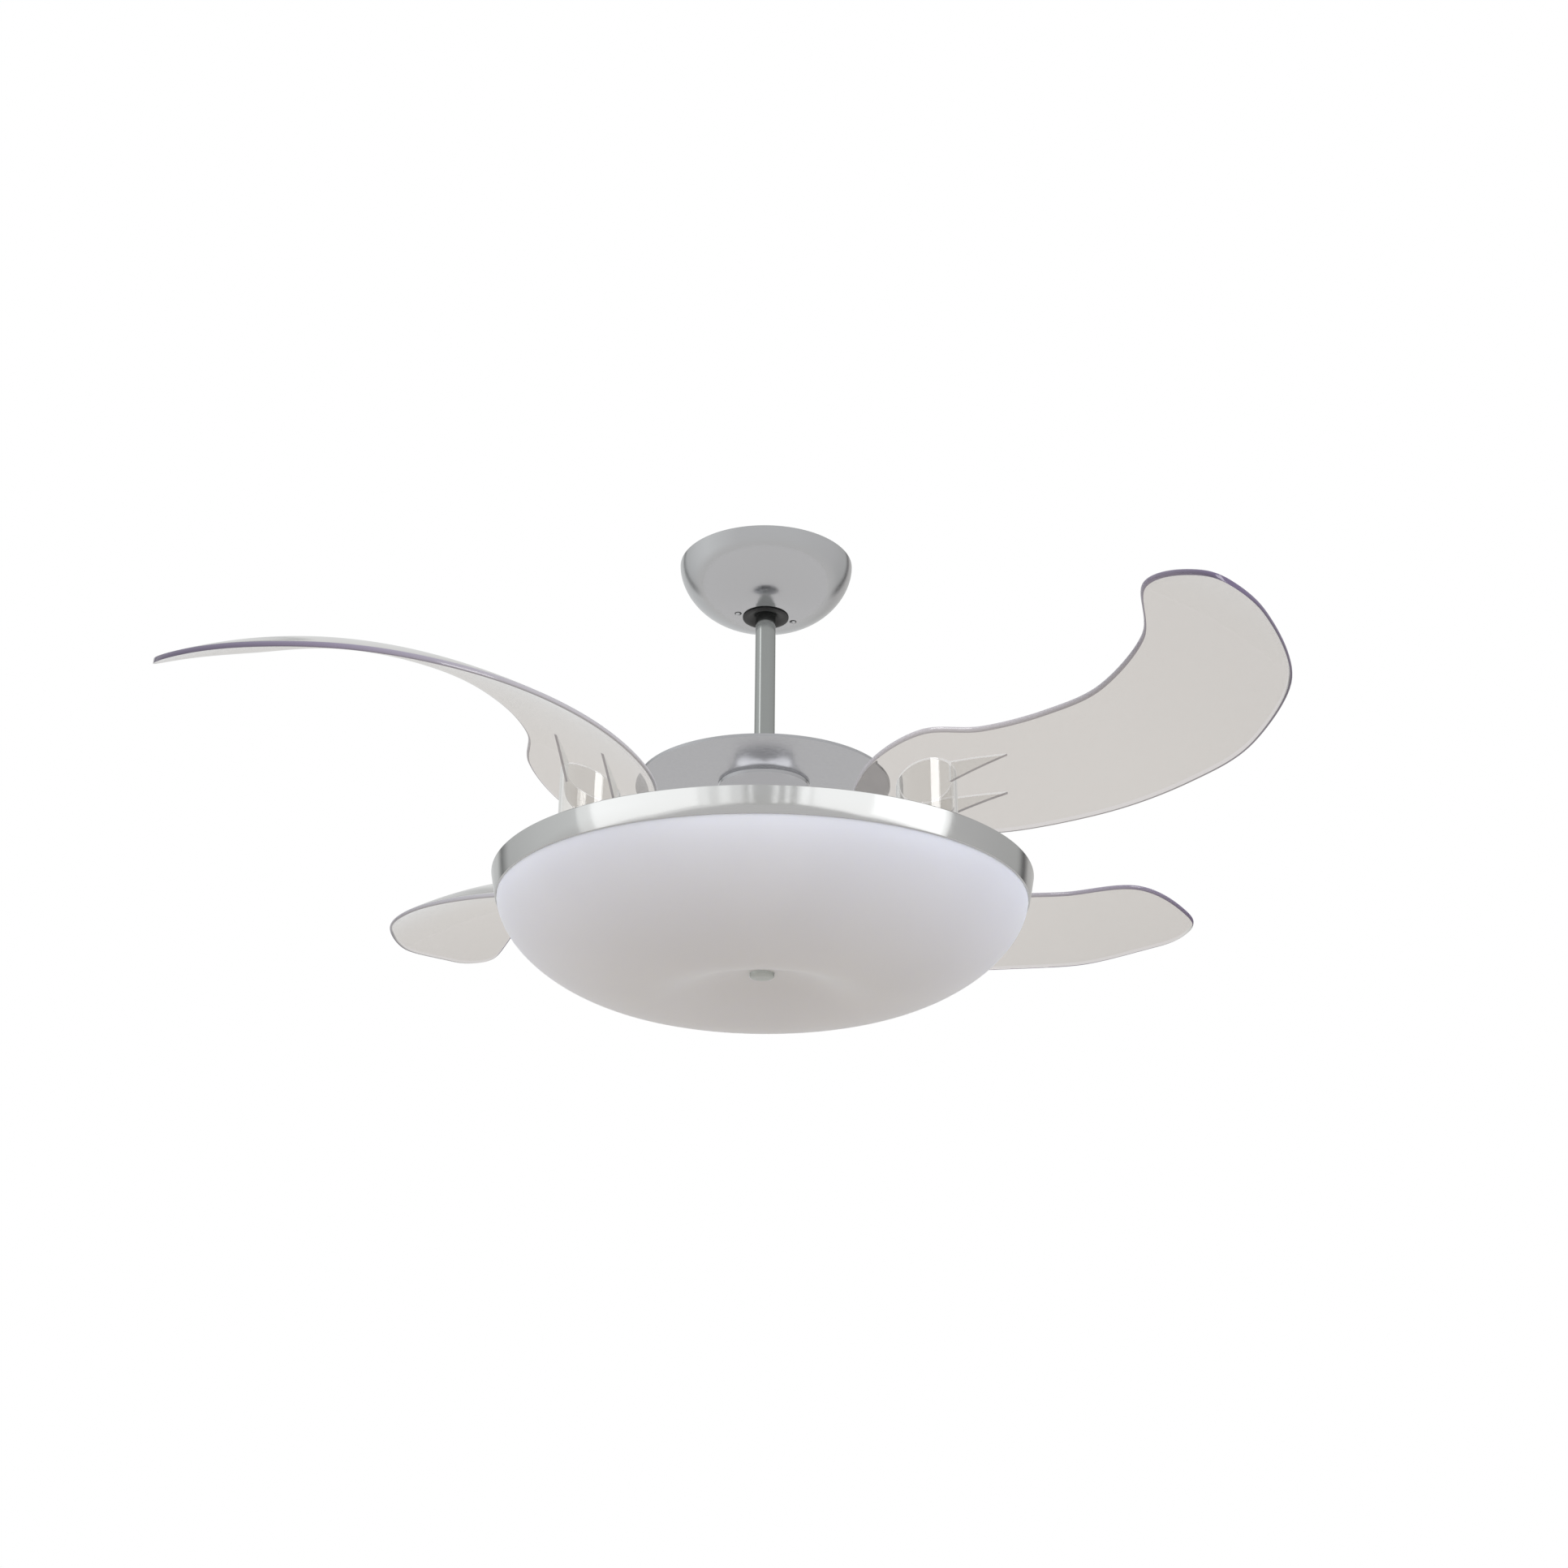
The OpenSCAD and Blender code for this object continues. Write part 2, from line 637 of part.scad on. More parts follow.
module cover_plate() color("silver") at_height(plate_h) difference() {
    cylinder(r = plate_r, h = plate_t);
    translate([0, 0, -cut]) cylinder(r = shaft_r + fit, h = plate_t + 2 * cut);
    ring_of(4, plate_screw_r, 45) translate([0, 0, -cut])
        cylinder(r = m3_r + fit, h = plate_t + 2 * cut, $fn = 32);
}

module cover_neck() color("silver") at_height(neck_h) difference() {
    steps = 10;
    flare_l = neck_l - neck_flange_t;
    flare = [for (i = [0 : steps]) let (t = i / steps)
        [neck_waist_d / 2 + (neck_d - neck_waist_d) / 2 * pow(t, 2), flare_l * t]];
    rotate_extrude() polygon(concat([[shaft_r + fit, 0]], flare,
                                    [[neck_d / 2, neck_l], [shaft_r + fit, neck_l]]));
    ring_of(4, plate_screw_r, 45) translate([0, 0, neck_l - 10])
        cylinder(r = m3_r + fit, h = 10 + cut, $fn = 32);
}

module cover_screws() color("silver") {
    seat_h = cover_inner_h(cover_screw_r - m3_head_r) + cover_wall;
    at_height(seat_h) rotate([0, 0, 30]) ring_of(3, cover_screw_r) rotate([180, 0, 0])
        screw_up(m3_r, seat_h - coupling_top_h + 7, m3_head_r, m3_head_t);
    at_height(plate_top_h) ring_of(4, plate_screw_r, 45) rotate([180, 0, 0])
        screw_up(m3_r, plate_t + 9, m3_head_r, m3_head_t);
}

// ---------------------------------------------------------------- shaft, bearings and stator

module motor_shaft() color("slategray") {
    low_h = pan_h - shaft_below_pan;
    step_h = low_bearing_h + bearing_w;
    at_height(0) rotate_extrude() polygon([
        [shaft_bore / 2, low_h], [shaft_r, low_h], [shaft_r, step_h], [shaft_r + shaft_step, step_h],
        [shaft_r + shaft_step, top_bearing_h], [shaft_r, top_bearing_h], [shaft_r, web_h],
        [shaft_bore / 2, web_h]]);
}

module bearings() color("lightsteelblue") for (h = [low_bearing_h, top_bearing_h]) at_height(h) {
    groove = 1;
    rotate_extrude() polygon([
        [shaft_r + fit, 0], [bearing_r - 4, 0], [bearing_r - 4, groove], [bearing_r - 3, groove],
        [bearing_r - 3, 0], [bearing_r, 0], [bearing_r, bearing_w],
        [bearing_r - 3, bearing_w], [bearing_r - 3, bearing_w - groove],
        [bearing_r - 4, bearing_w - groove], [bearing_r - 4, bearing_w], [shaft_r + fit, bearing_w]]);
}

module stator_core() color("slategray") at_height(stator_h) linear_extrude(stator_t) difference() {
    circle(r = stator_r);
    circle(r = shaft_r + shaft_step + fit);
    for (i = [0 : stator_teeth - 1]) rotate(360 * (i + 0.5) / stator_teeth) {
        near = 180 / stator_teeth - asin(tooth_w / 2 / yoke_r);
        wide_r = stator_r - shoe_t;
        far = 180 / stator_teeth - asin(tooth_w / 2 / wide_r);
        polygon([polar(yoke_r, -near), polar(wide_r, -far), polar(wide_r, far), polar(yoke_r, near)]);
        translate([wide_r - 2, -2]) square([shoe_t + 4, 4]);
    }
}

module stator_windings() color("peru") at_height(motor_mid_h)
    for (i = [0 : stator_teeth - 1]) rotate([0, 0, 360 * i / stator_teeth]) {
        start = yoke_r + 10;
        length = stator_r - shoe_t - 2 - start;
        difference() {
            translate([start, -tooth_w / 2 - coil_t, -stator_t / 2 - coil_rise])
                cube([length, tooth_w + 2 * coil_t, stator_t + 2 * coil_rise]);
            translate([start - cut, -tooth_w / 2 - fit, -stator_t / 2 - fit])
                cube([length + 2 * cut, tooth_w + 2 * fit, stator_t + 2 * fit]);
        }
    }

module shaft_spacer() color("silver") at_height(pan_top_h)
    tube(shaft_r + 3, shaft_r + fit, low_bearing_h - pan_top_h);

// ---------------------------------------------------------------- rotor

module rotor_upper_shell() color("lightgray") at_height(0) difference() {
    wall = motor_wall;
    rotate_extrude() polygon([
        [bearing_r - 3, motor_top_h], [pocket_r + 4, motor_top_h], [motor_r - 12, motor_top_h - 1],
        [motor_r - 4, motor_top_h - 4], [motor_r, motor_top_h - 9], [motor_r, motor_mid_h + wall],
        [motor_r + motor_flange, motor_mid_h + wall], [motor_r + motor_flange, motor_mid_h],
        [motor_r - wall, motor_mid_h], [motor_r - wall, motor_top_h - 10],
        [motor_r - wall - 4, motor_top_h - 6], [pocket_r, motor_top_h - wall - 1],
        [pocket_r, top_bearing_h], [bearing_r + fit, top_bearing_h],
        [bearing_r + fit, motor_top_h - bearing_lip], [bearing_r - 3, motor_top_h - bearing_lip]]);
    ring_of(shell_screws, shell_screw_r, 15) translate([0, 0, motor_mid_h - cut])
        cylinder(r = m3_r + fit, h = wall + 2 * cut, $fn = 32);
}

module rotor_lower_shell() color("lightgray") at_height(0) difference() {
    wall = motor_wall;
    rotate_extrude() polygon([
        [shaft_r + 5, motor_h], [motor_r - 4, motor_h], [motor_r, motor_h + 4],
        [motor_r, motor_mid_h - wall], [motor_r + motor_flange, motor_mid_h - wall],
        [motor_r + motor_flange, motor_mid_h], [motor_r - wall, motor_mid_h],
        [motor_r - wall, motor_h + wall + 2], [motor_r - wall - 2, motor_h + wall],
        [pocket_r, motor_h + wall], [pocket_r, low_bearing_h + bearing_w],
        [bearing_r + fit, low_bearing_h + bearing_w], [bearing_r + fit, low_bearing_h - gap],
        [shaft_r + 5, low_bearing_h - gap]]);
    ring_of(6, shell_bolt_r) translate([0, 0, motor_h - cut])
        cylinder(r = m4_r + fit, h = wall + 2 * cut, $fn = 32);
    ring_of(shell_screws, shell_screw_r, 15) translate([0, 0, motor_mid_h - wall - cut])
        cylinder(r = m3_r + fit, h = wall + 2 * cut, $fn = 32);
}

module rotor_magnets() color("dimgray") at_height(stator_h - 1)
    tube(magnet_r, magnet_r - magnet_t, stator_t + 2);

module carrier_hub() color("lightgray") at_height(carrier_top_h) difference() {
    hub_l = motor_h - carrier_top_h;
    rotate_extrude() polygon([
        [shaft_r + 5, hub_l - hub_wall], [shaft_r + 5, hub_l], [hub_top_r, hub_l], [hub_low_r, 0],
        [hub_foot_r, 0], [hub_foot_r, hub_wall], [hub_low_r - 2 * hub_wall, hub_wall],
        [hub_top_r - hub_wall - 1, hub_l - hub_wall]]);
    ring_of(6, shell_bolt_r) translate([0, 0, hub_l - hub_wall - cut])
        cylinder(r = m4_r + fit, h = hub_wall + 2 * cut, $fn = 32);
    ring_of(6, hub_bolt_r, 30) translate([0, 0, -cut])
        cylinder(r = m4_r + fit, h = hub_wall + 2 * cut, $fn = 32);
}

module rotor_screws() color("silver") {
    at_height(carrier_h) ring_of(6, hub_bolt_r, 30)
        screw_up(m4_r, carrier_t + hub_wall + 1, m4_head_r, m4_head_t);
    at_height(motor_h - hub_wall) ring_of(6, shell_bolt_r)
        screw_up(m4_r, hub_wall + motor_wall, m4_head_r, m4_head_t);
    at_height(motor_mid_h - motor_wall) ring_of(shell_screws, shell_screw_r, 15)
        screw_up(m3_r, 2 * motor_wall + 2, m3_head_r, m3_head_t);
}

module blade_carrier() color("whitesmoke") at_height(carrier_h) difference() {
    union() {
        cylinder(r = carrier_r, h = carrier_t);
        ring_of(blades, pivot_r, blade_angle) cylinder(r = ear_r, h = carrier_t);
    }
    translate([0, 0, -cut]) cylinder(r = carrier_bore_r, h = carrier_t + 2 * cut);
    ring_of(6, hub_bolt_r, 30) translate([0, 0, -cut])
        cylinder(r = m4_r + fit, h = carrier_t + 2 * cut, $fn = 32);
    ring_of(blades, pivot_r, blade_angle) translate([0, 0, -cut])
        cylinder(r = post_d / 2 - 3 + fit, h = carrier_t + 2 * cut);
}

module pivot_posts() color("silver") for (i = [1 : blades]) {
    post_l = tube_h + gap - carrier_top_h;
    at_pivot(i, carrier_h) cylinder(r = post_d / 2 - 3, h = carrier_t);
    at_pivot(i, carrier_top_h) difference() {
        cylinder(d = post_d, h = post_l);
        translate([0, 0, post_l - 12]) cylinder(r = m4_r + fit, h = 12 + cut, $fn = 32);
    }
}

module pivot_caps() color("silver") for (i = [1 : blades]) at_pivot(i, tube_h + gap) {
    cylinder(r = sleeve_r - 1, h = pivot_cap_t);
    translate([0, 0, -11]) cylinder(r = m4_r, h = 11 + pivot_cap_t, $fn = 32);
    translate([0, 0, pivot_cap_t]) cylinder(r = m4_head_r, h = m4_head_t, $fn = 32);
}

module return_springs() color("gray") {
    ring_steps = 8;
    low = carrier_top_h + gap + spring_wire / 2;
    count = spring_turns * ring_steps;
    coil = [for (i = [0 : count]) let (a = 360 * i / ring_steps)
        [spring_r * cos(a), spring_r * sin(a), spring_pitch * i / ring_steps]];
    end_a = 360 * spring_turns;
    leg_in = [for (l = [spring_leg, spring_leg / 2]) [spring_r, -l, 0]];
    leg_out = [for (l = [spring_leg / 2, spring_leg])
        [spring_r * cos(end_a) - l * sin(end_a), spring_r * sin(end_a) + l * cos(end_a),
         spring_pitch * spring_turns]];
    for (i = [1 : blades]) at_pivot(i, low) swept_tube(concat(leg_in, coil, leg_out), spring_wire, 6);
}

module ring_guides() color("dimgray") at_height(carrier_top_h) ring_of(guides, guide_r, guide_start) {
    cylinder(r = guide_flange_r, h = spring_space - gap);
    cylinder(r = guide_core_r, h = spring_space + gear_t + gap);
    translate([0, 0, spring_space + gear_t + gap]) cylinder(r = guide_flange_r, h = guide_flange_t);
}

module stop_bumpers() color("black") at_height(carrier_top_h)
    for (a = [-bumper_angle, sync_turn + bumper_angle]) rotate([0, 0, a]) translate([guide_r, 0, 0])
        cylinder(r = bumper_r, h = spring_space + gear_t);

module sync_ring() color("ivory") at_height(gear_h) difference() {
    low_r = sync_r - root_depth;
    plain_steps = 20;
    toothed = [for (k = [0 : blades - 1]) let (a0 = blade_angle + blade_step * k) each concat(
        [for (i = [-teeth_behind : teeth_ahead]) each tooth(sync_r, a0 + i * tooth_step)],
        let (from = a0 + (teeth_ahead + 0.5) * tooth_step,
             to = a0 + blade_step - (teeth_behind + 0.5) * tooth_step)
        [for (i = [0 : plain_steps]) polar(low_r, from + (to - from) * i / plain_steps)])];
    union() {
        linear_extrude(gear_t) difference() {
            polygon(toothed);
            circle(r = sync_in_r);
        }
        translate([guide_r - 3, -lug_half_w, 0]) cube([sync_in_r - guide_r + 6, 2 * lug_half_w, gear_t]);
    }
}

// ---------------------------------------------------------------- blades

module blade_sheet() {
    sections = [for (k = [0 : stations])
        let (s = end_trim + (tip_index - 2 * end_trim) * k / stations)
        sheet_section(edge_at(s), edge_at(edge_count - s))];
    n = len(sections[0]);
    points = [for (sec = sections) each sec];
    walls = [for (k = [0 : stations - 1]) for (j = [0 : n - 1])
        let (a = k * n + j, b = k * n + (j + 1) % n)
        each [[a, b, b + n], [a, b + n, a + n]]];
    half_n = n / 2;
    function lid(base, turned) = [for (f = concat(
        [for (j = [0 : half_n - 2]) [j + 2, j + 3, (n + 1 - j) % n]],
        [for (j = [1 : half_n - 1]) [j + 2, (n + 1 - j) % n, (n + 2 - j) % n]]))
        turned ? [base + f[0], base + f[2], base + f[1]] : [base + f[0], base + f[1], base + f[2]]];
    polyhedron(points = points, faces = concat(walls, lid(0, true), lid(stations * n, false)));
}

// Space under the middle of the sheet, round the tube
module under_sheet() {
    half = tube_d / 2 + 2;
    cells = 6;
    n = cells + 1;
    grid = [for (i = [0 : cells]) for (j = [0 : cells])
        [half * (2 * i / cells - 1), half * (2 * j / cells - 1)]];
    points = concat([for (p = grid) [p[0], p[1], tube_h - cut]], [for (p = grid) [p[0], p[1], sheet_h(p)]]);
    top = n * n;
    cells_at = [for (i = [0 : cells - 1]) for (j = [0 : cells - 1]) i * n + j];
    rim = concat([for (i = [0 : cells - 1]) i * n], [for (j = [0 : cells - 1]) cells * n + j],
                 [for (i = [cells : -1 : 1]) i * n + cells], [for (j = [cells : -1 : 1]) j]);
    polyhedron(points = points, faces = concat(
        [for (c = cells_at) each [[c, c + n, c + n + 1], [c, c + n + 1, c + 1]]],
        [for (c = cells_at) let (t = top + c) each [[t, t + n + 1, t + n], [t, t + 1, t + n + 1]]],
        [for (k = [0 : len(rim) - 1]) let (a = rim[k], b = rim[(k + 1) % len(rim)])
            each [[a, top + a, top + b], [a, top + b, b]]]));
}

// Height of the sheet above a point on a rib, x along the rib
function sheet_over_rib(x, offset_y) =
    sheet_h([x * cos(rib_angle) - offset_y * sin(rib_angle), x * sin(rib_angle) + offset_y * cos(rib_angle)]);

module blade_rib(offset_y) {
    steps = 4;
    wall_x = sqrt(pow(tube_d / 2, 2) - pow(offset_y, 2)) - 1;
    top = [for (i = [0 : steps]) let (x = wall_x + (rib_reach - wall_x) * i / steps)
        [x, sheet_over_rib(x, offset_y)]];
    rotate([0, 0, rib_angle]) translate([0, offset_y + rib_t / 2, 0]) rotate([90, 0, 0])
        linear_extrude(rib_t) polygon(concat(
            [[wall_x, top[0][1] - rib_depth], [rib_reach, top[steps][1] - blade_t / 2]],
            [for (i = [steps : -1 : 0]) top[i]]));
}

module blade(index) color("lightgray", 0.6) at_pivot(index, 0) difference() {
    union() {
        blade_sheet();
        intersection() {
            translate([0, 0, tube_h]) difference() {
                cylinder(d = tube_d, h = blade_h);
                translate([0, 0, base_t]) cylinder(r = tube_d / 2 - tube_wall, h = blade_h);
            }
            under_sheet();
        }
        for (y = rib_offsets) blade_rib(y);
    }
    translate([0, 0, tube_h - cut]) {
        cylinder(r = sleeve_r + 1, h = base_t + 2 * cut);
        ring_of(3, blade_screw_r) cylinder(r = m3_r + fit, h = base_t + 2 * cut, $fn = 32);
    }
}

module blade_gear(index) color("ivory") at_pivot(index, gear_h) difference() {
    union() {
        linear_extrude(gear_t)
            polygon([for (i = [0 : gear_teeth - 1]) each tooth(gear_r, 360 * (i + 0.5) / gear_teeth)]);
        translate([0, 0, gear_t]) cylinder(r = tube_d / 2 - gap, h = flange_t);
        translate([0, 0, gap - spring_space]) cylinder(r = sleeve_r, h = spring_space);
    }
    translate([0, 0, -spring_space])
        cylinder(r = post_d / 2 + fit, h = spring_space + gear_t + flange_t + cut);
    ring_of(3, blade_screw_r) {
        translate([0, 0, -cut]) cylinder(r = m3_head_r + fit, h = m3_head_t + cut, $fn = 32);
        cylinder(r = m3_r + fit, h = gear_t + flange_t + cut, $fn = 32);
    }
}

module blade_screws(index) color("silver") at_pivot(index, gear_h + m3_head_t) {
    shank_l = gear_t + flange_t - m3_head_t + base_t - 0.5;
    ring_of(3, blade_screw_r) screw_up(m3_r, shank_l, m3_head_r, m3_head_t - gap);
}

// ---------------------------------------------------------------- trim ring and lamp pan

module trim_ring() color("silver") difference() {
    at_height(0) rotate_extrude($fn = 180) polygon([
        [ring_low_r - ring_wall, 0], [ring_low_r, 0], [ring_r, ring_t], [ring_r - ring_wall, ring_t],
        [ring_inner_r(pan_top_h + ring_wall), pan_top_h + ring_wall],
        [ring_flange_r, pan_top_h + ring_wall], [ring_flange_r, pan_top_h],
        [ring_inner_r(pan_top_h), pan_top_h]]);
    at_height(pan_top_h - cut) ring_of(4, ring_bolt_r)
        cylinder(r = m3_r + fit, h = ring_wall + 2 * cut, $fn = 32);
}

module ring_screws() color("silver") at_height(pan_h) ring_of(4, ring_bolt_r)
    screw_up(m3_r, pan_t + ring_wall + 1, m3_head_r, 1);

module lamp_pan() color("white") at_height(pan_h) difference() {
    cylinder(r = pan_r, h = pan_t);
    translate([0, 0, -cut]) cylinder(r = shaft_r + fit, h = pan_t + 2 * cut);
    ring_of(4, ring_bolt_r) translate([0, 0, -cut])
        cylinder(r = m3_r + fit, h = pan_t + 2 * cut, $fn = 32);
}

module shaft_nut() color("silver") at_height(pan_h - nut_t) difference() {
    cylinder(d = nut_flats / cos(30), h = nut_t, $fn = 6);
    translate([0, 0, -cut]) cylinder(r = shaft_r + fit, h = nut_t + 2 * cut);
}

// ---------------------------------------------------------------- shade and its fixing

module stud_bridge() color("silver") difference() {
    union() {
        at_height(bridge_h) translate([-bridge_x, -bridge_w / 2, 0]) cube([2 * bridge_x, bridge_w, bridge_t]);
        for (s = [0, 180]) rotate([0, 0, s]) {
            at_height(bridge_h) translate([bridge_x - bridge_t, -bridge_w / 2, 0])
                cube([bridge_t, bridge_w, pan_h - bridge_h]);
            at_height(pan_h - bridge_t) translate([bridge_x - bridge_t, -bridge_w / 2, 0])
                cube([16, bridge_w, bridge_t]);
        }
    }
    at_height(bridge_h - cut) cylinder(r = stud_d / 2 + fit, h = bridge_t + 2 * cut);
}

module shade_stud() color("silver") {
    top = bridge_h + bridge_t + 1;
    low = floor_h - finial_t + 2;
    at_height(low) cylinder(d = stud_d, h = top - low);
}

module stud_nut() color("silver") at_height(bridge_h - 6) difference() {
    cylinder(d = stud_d * 1.9, h = 6, $fn = 6);
    translate([0, 0, -cut]) cylinder(r = stud_d / 2 + fit, h = 6 + 2 * cut);
}

module shade() {
    side_steps = 22;
    dimple_steps = 10;
    rim_h = pan_h - gap;
    function dimple(low_h) = [for (i = [1 : dimple_steps]) let (t = i / dimple_steps)
        [crest_r + (dimple_r - crest_r) * t, low_h + dimple_rise * (1 - cos(180 * t)) / 2]];
    function profile(wide, low_h) =
        concat([[wide, rim_h]], side_curve(wide, crest_r, low_h, shade_fullness, side_steps), dimple(low_h));
    outer = profile(shade_r, -shade_depth);
    inner = profile(shade_r - shade_wall, -shade_depth + shade_wall);
    hole_r = stud_d / 2 + 1;
    color("white") at_height(0) rotate_extrude($fn = 180) polygon(concat(
        outer, [[hole_r, floor_h], [hole_r, shade_floor_h]],
        [for (i = [len(inner) - 1 : -1 : 0]) inner[i]]));
}

module shade_washer() color("dimgray") at_height(shade_floor_h)
    tube(finial_d / 2 + 2, stud_d / 2 + fit, washer_t);

module finial() color("silver") at_height(floor_h) difference() {
    r = finial_d / 2;
    rotate_extrude() polygon([[0, 0], [r, 0], [r, -finial_t * 0.5], [r * 0.92, -finial_t * 0.8],
                              [r * 0.75, -finial_t * 0.95], [r * 0.4, -finial_t], [0, -finial_t]]);
    translate([0, 0, 1.6 - finial_t]) cylinder(r = stud_d / 2 + fit, h = finial_t + cut);
}

// ---------------------------------------------------------------- lamps

module at_lamps() {
    at_height(0) ring_of(lamps, 0, lamp_start_angle) children();
}

module lamp_brackets() color("silver") at_lamps() {
    width = 24;
    face_x = holder_start - bracket_plate_t;
    low_h = lamp_axis_h - 10;
    translate([face_x, -width / 2, low_h]) cube([bracket_plate_t, width, pan_h - low_h]);
    translate([face_x - 14, -width / 2, pan_h - bracket_plate_t]) cube([15, width, bracket_plate_t]);
}

module lamp_holders() color("whitesmoke") at_lamps()
    translate([holder_start, 0, lamp_axis_h]) rotate([0, 90, 0]) difference() {
        cylinder(d = holder_d, h = holder_l);
        translate([0, 0, holder_l - cap_l]) cylinder(r = cap_d / 2 + gap, h = cap_l + cut);
    }

module bulb_caps() color("silver") at_lamps()
    translate([cap_start, 0, lamp_axis_h]) rotate([0, 90, 0]) cylinder(d = cap_d, h = cap_l);

module bulbs() color("white") at_lamps()
    translate([cap_start + cap_l, 0, lamp_axis_h]) rotate([0, 90, 0]) {
        centre = bulb_centre - cap_start - cap_l;
        neck_r = cap_d / 2 - 1;
        join = 35;
        flare_r = bulb_r * sin(join) * 1.55;
        flare_x = centre - bulb_r * cos(join) * 0.55;
        flare = [for (i = [0 : 6]) let (t = i / 6)
            [neck_r + (flare_r - neck_r) * (1 - cos(90 * t)), flare_x * t]];
        round_side = [for (i = [0 : 12]) let (a = 63 + 117 * i / 12)
            [bulb_r * sin(a), centre - bulb_r * cos(a)]];
        rotate_extrude() polygon(concat([[0, 0]], flare, round_side, [[0, centre + bulb_r]]));
    }

module lamp_terminal() color("ivory") {
    block = [36, 16, 14];
    at_height(pan_h - block[2]) translate([-block[0] / 2, terminal_y - block[1], 0]) cube(block);
}

// ---------------------------------------------------------------- output

ceiling_bracket();
hanger_ball();
hanger_pin();
down_rod();
canopy();
canopy_collar();
canopy_screws();
receiver_box();
terminal_block();
wiring();
rod_coupling();
coupling_pin();
top_cover();
cover_plate();
cover_neck();
cover_screws();
motor_shaft();
bearings();
stator_core();
stator_windings();
shaft_spacer();
lamp_pan();
shaft_nut();
trim_ring();
ring_screws();
stud_bridge();
shade_stud();
stud_nut();
shade();
shade_washer();
finial();
lamp_brackets();
lamp_holders();
bulb_caps();
bulbs();
lamp_terminal();
rotor_upper_shell();
rotor_lower_shell();
rotor_magnets();
carrier_hub();
blade_carrier();
rotor_screws();
pivot_posts();
pivot_caps();
return_springs();
ring_guides();
stop_bumpers();
sync_ring();
blade(1);  // blade_1
blade(2);  // blade_2
blade(3);  // blade_3
blade(4);  // blade_4
blade_gear(1);  // blade_gear_1
blade_gear(2);  // blade_gear_2
blade_gear(3);  // blade_gear_3
blade_gear(4);  // blade_gear_4
blade_screws(1);  // blade_screws_1
blade_screws(2);  // blade_screws_2
blade_screws(3);  // blade_screws_3
blade_screws(4);  // blade_screws_4
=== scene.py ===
import json
import math

import bpy
from mathutils import Matrix, Vector

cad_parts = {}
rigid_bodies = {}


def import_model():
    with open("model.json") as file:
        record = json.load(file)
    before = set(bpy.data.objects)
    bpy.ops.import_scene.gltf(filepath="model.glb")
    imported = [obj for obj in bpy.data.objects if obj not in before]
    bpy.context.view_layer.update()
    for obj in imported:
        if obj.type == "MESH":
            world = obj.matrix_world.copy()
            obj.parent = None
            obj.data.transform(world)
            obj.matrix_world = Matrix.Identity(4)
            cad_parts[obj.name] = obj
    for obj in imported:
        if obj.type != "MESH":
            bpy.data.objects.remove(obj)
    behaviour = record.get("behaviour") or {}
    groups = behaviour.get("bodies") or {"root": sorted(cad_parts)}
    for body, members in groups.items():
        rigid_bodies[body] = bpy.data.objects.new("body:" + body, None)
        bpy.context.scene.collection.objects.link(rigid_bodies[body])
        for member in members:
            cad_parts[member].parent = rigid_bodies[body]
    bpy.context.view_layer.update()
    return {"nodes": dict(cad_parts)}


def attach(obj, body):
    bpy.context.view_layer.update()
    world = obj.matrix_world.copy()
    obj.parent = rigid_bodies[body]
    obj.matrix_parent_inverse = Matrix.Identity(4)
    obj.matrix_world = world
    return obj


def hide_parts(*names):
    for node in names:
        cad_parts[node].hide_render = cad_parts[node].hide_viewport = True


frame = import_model()
node = frame["nodes"]

# ---------------------------------------------------------------- camera
# The photograph is taken from below and in front, with the camera about 0.95 m under the
# ceiling and 1.72 m away, tilted up. Places are in metres and turns in radians.
image_px, focal_px, sensor_mm, nearest = 1932, 2269.7, 36, 0.05
camera_at = Vector((0.0, -1.7194, -0.945))
pan, tilt, roll = 0.01174, 0.38621, 0.00606

ahead = Vector((math.sin(pan) * math.cos(tilt), math.cos(pan) * math.cos(tilt), math.sin(tilt)))
level_right = Vector((math.cos(pan), -math.sin(pan), 0))
level_up = level_right.cross(ahead)
right = level_right * math.cos(roll) + level_up * math.sin(roll)
up = level_up * math.cos(roll) - level_right * math.sin(roll)
camera_data = bpy.data.cameras.new("camera")
camera_data.sensor_width = sensor_mm
camera_data.lens = focal_px * sensor_mm / image_px
camera_data.clip_start = nearest
camera = bpy.data.objects.new("camera", camera_data)
bpy.context.scene.collection.objects.link(camera)
camera.matrix_world = Matrix((
    (right.x, up.x, -ahead.x, camera_at.x),
    (right.y, up.y, -ahead.y, camera_at.y),
    (right.z, up.z, -ahead.z, camera_at.z),
    (0, 0, 0, 1)))
bpy.context.scene.camera = camera
bpy.context.scene.view_settings.view_transform = "Standard"

# ---------------------------------------------------------------- floor and studio light
# A pale studio floor two metres under the fan, and a soft room: brighter above, dimmer and
# warmer below, white where the camera or clear plastic looks through to it. Chrome sees a pale
# room of its own, palest on the left, with a dark upright on each side behind the fan.


def linear(text):
    """An sRGB hex colour as linear red, green, blue and alpha."""
    parts = [int(text[i:i + 2], 16) / 255 for i in (1, 3, 5)]
    return [c / 12.92 if c <= 0.04045 else ((c + 0.055) / 1.055) ** 2.4 for c in parts] + [1]


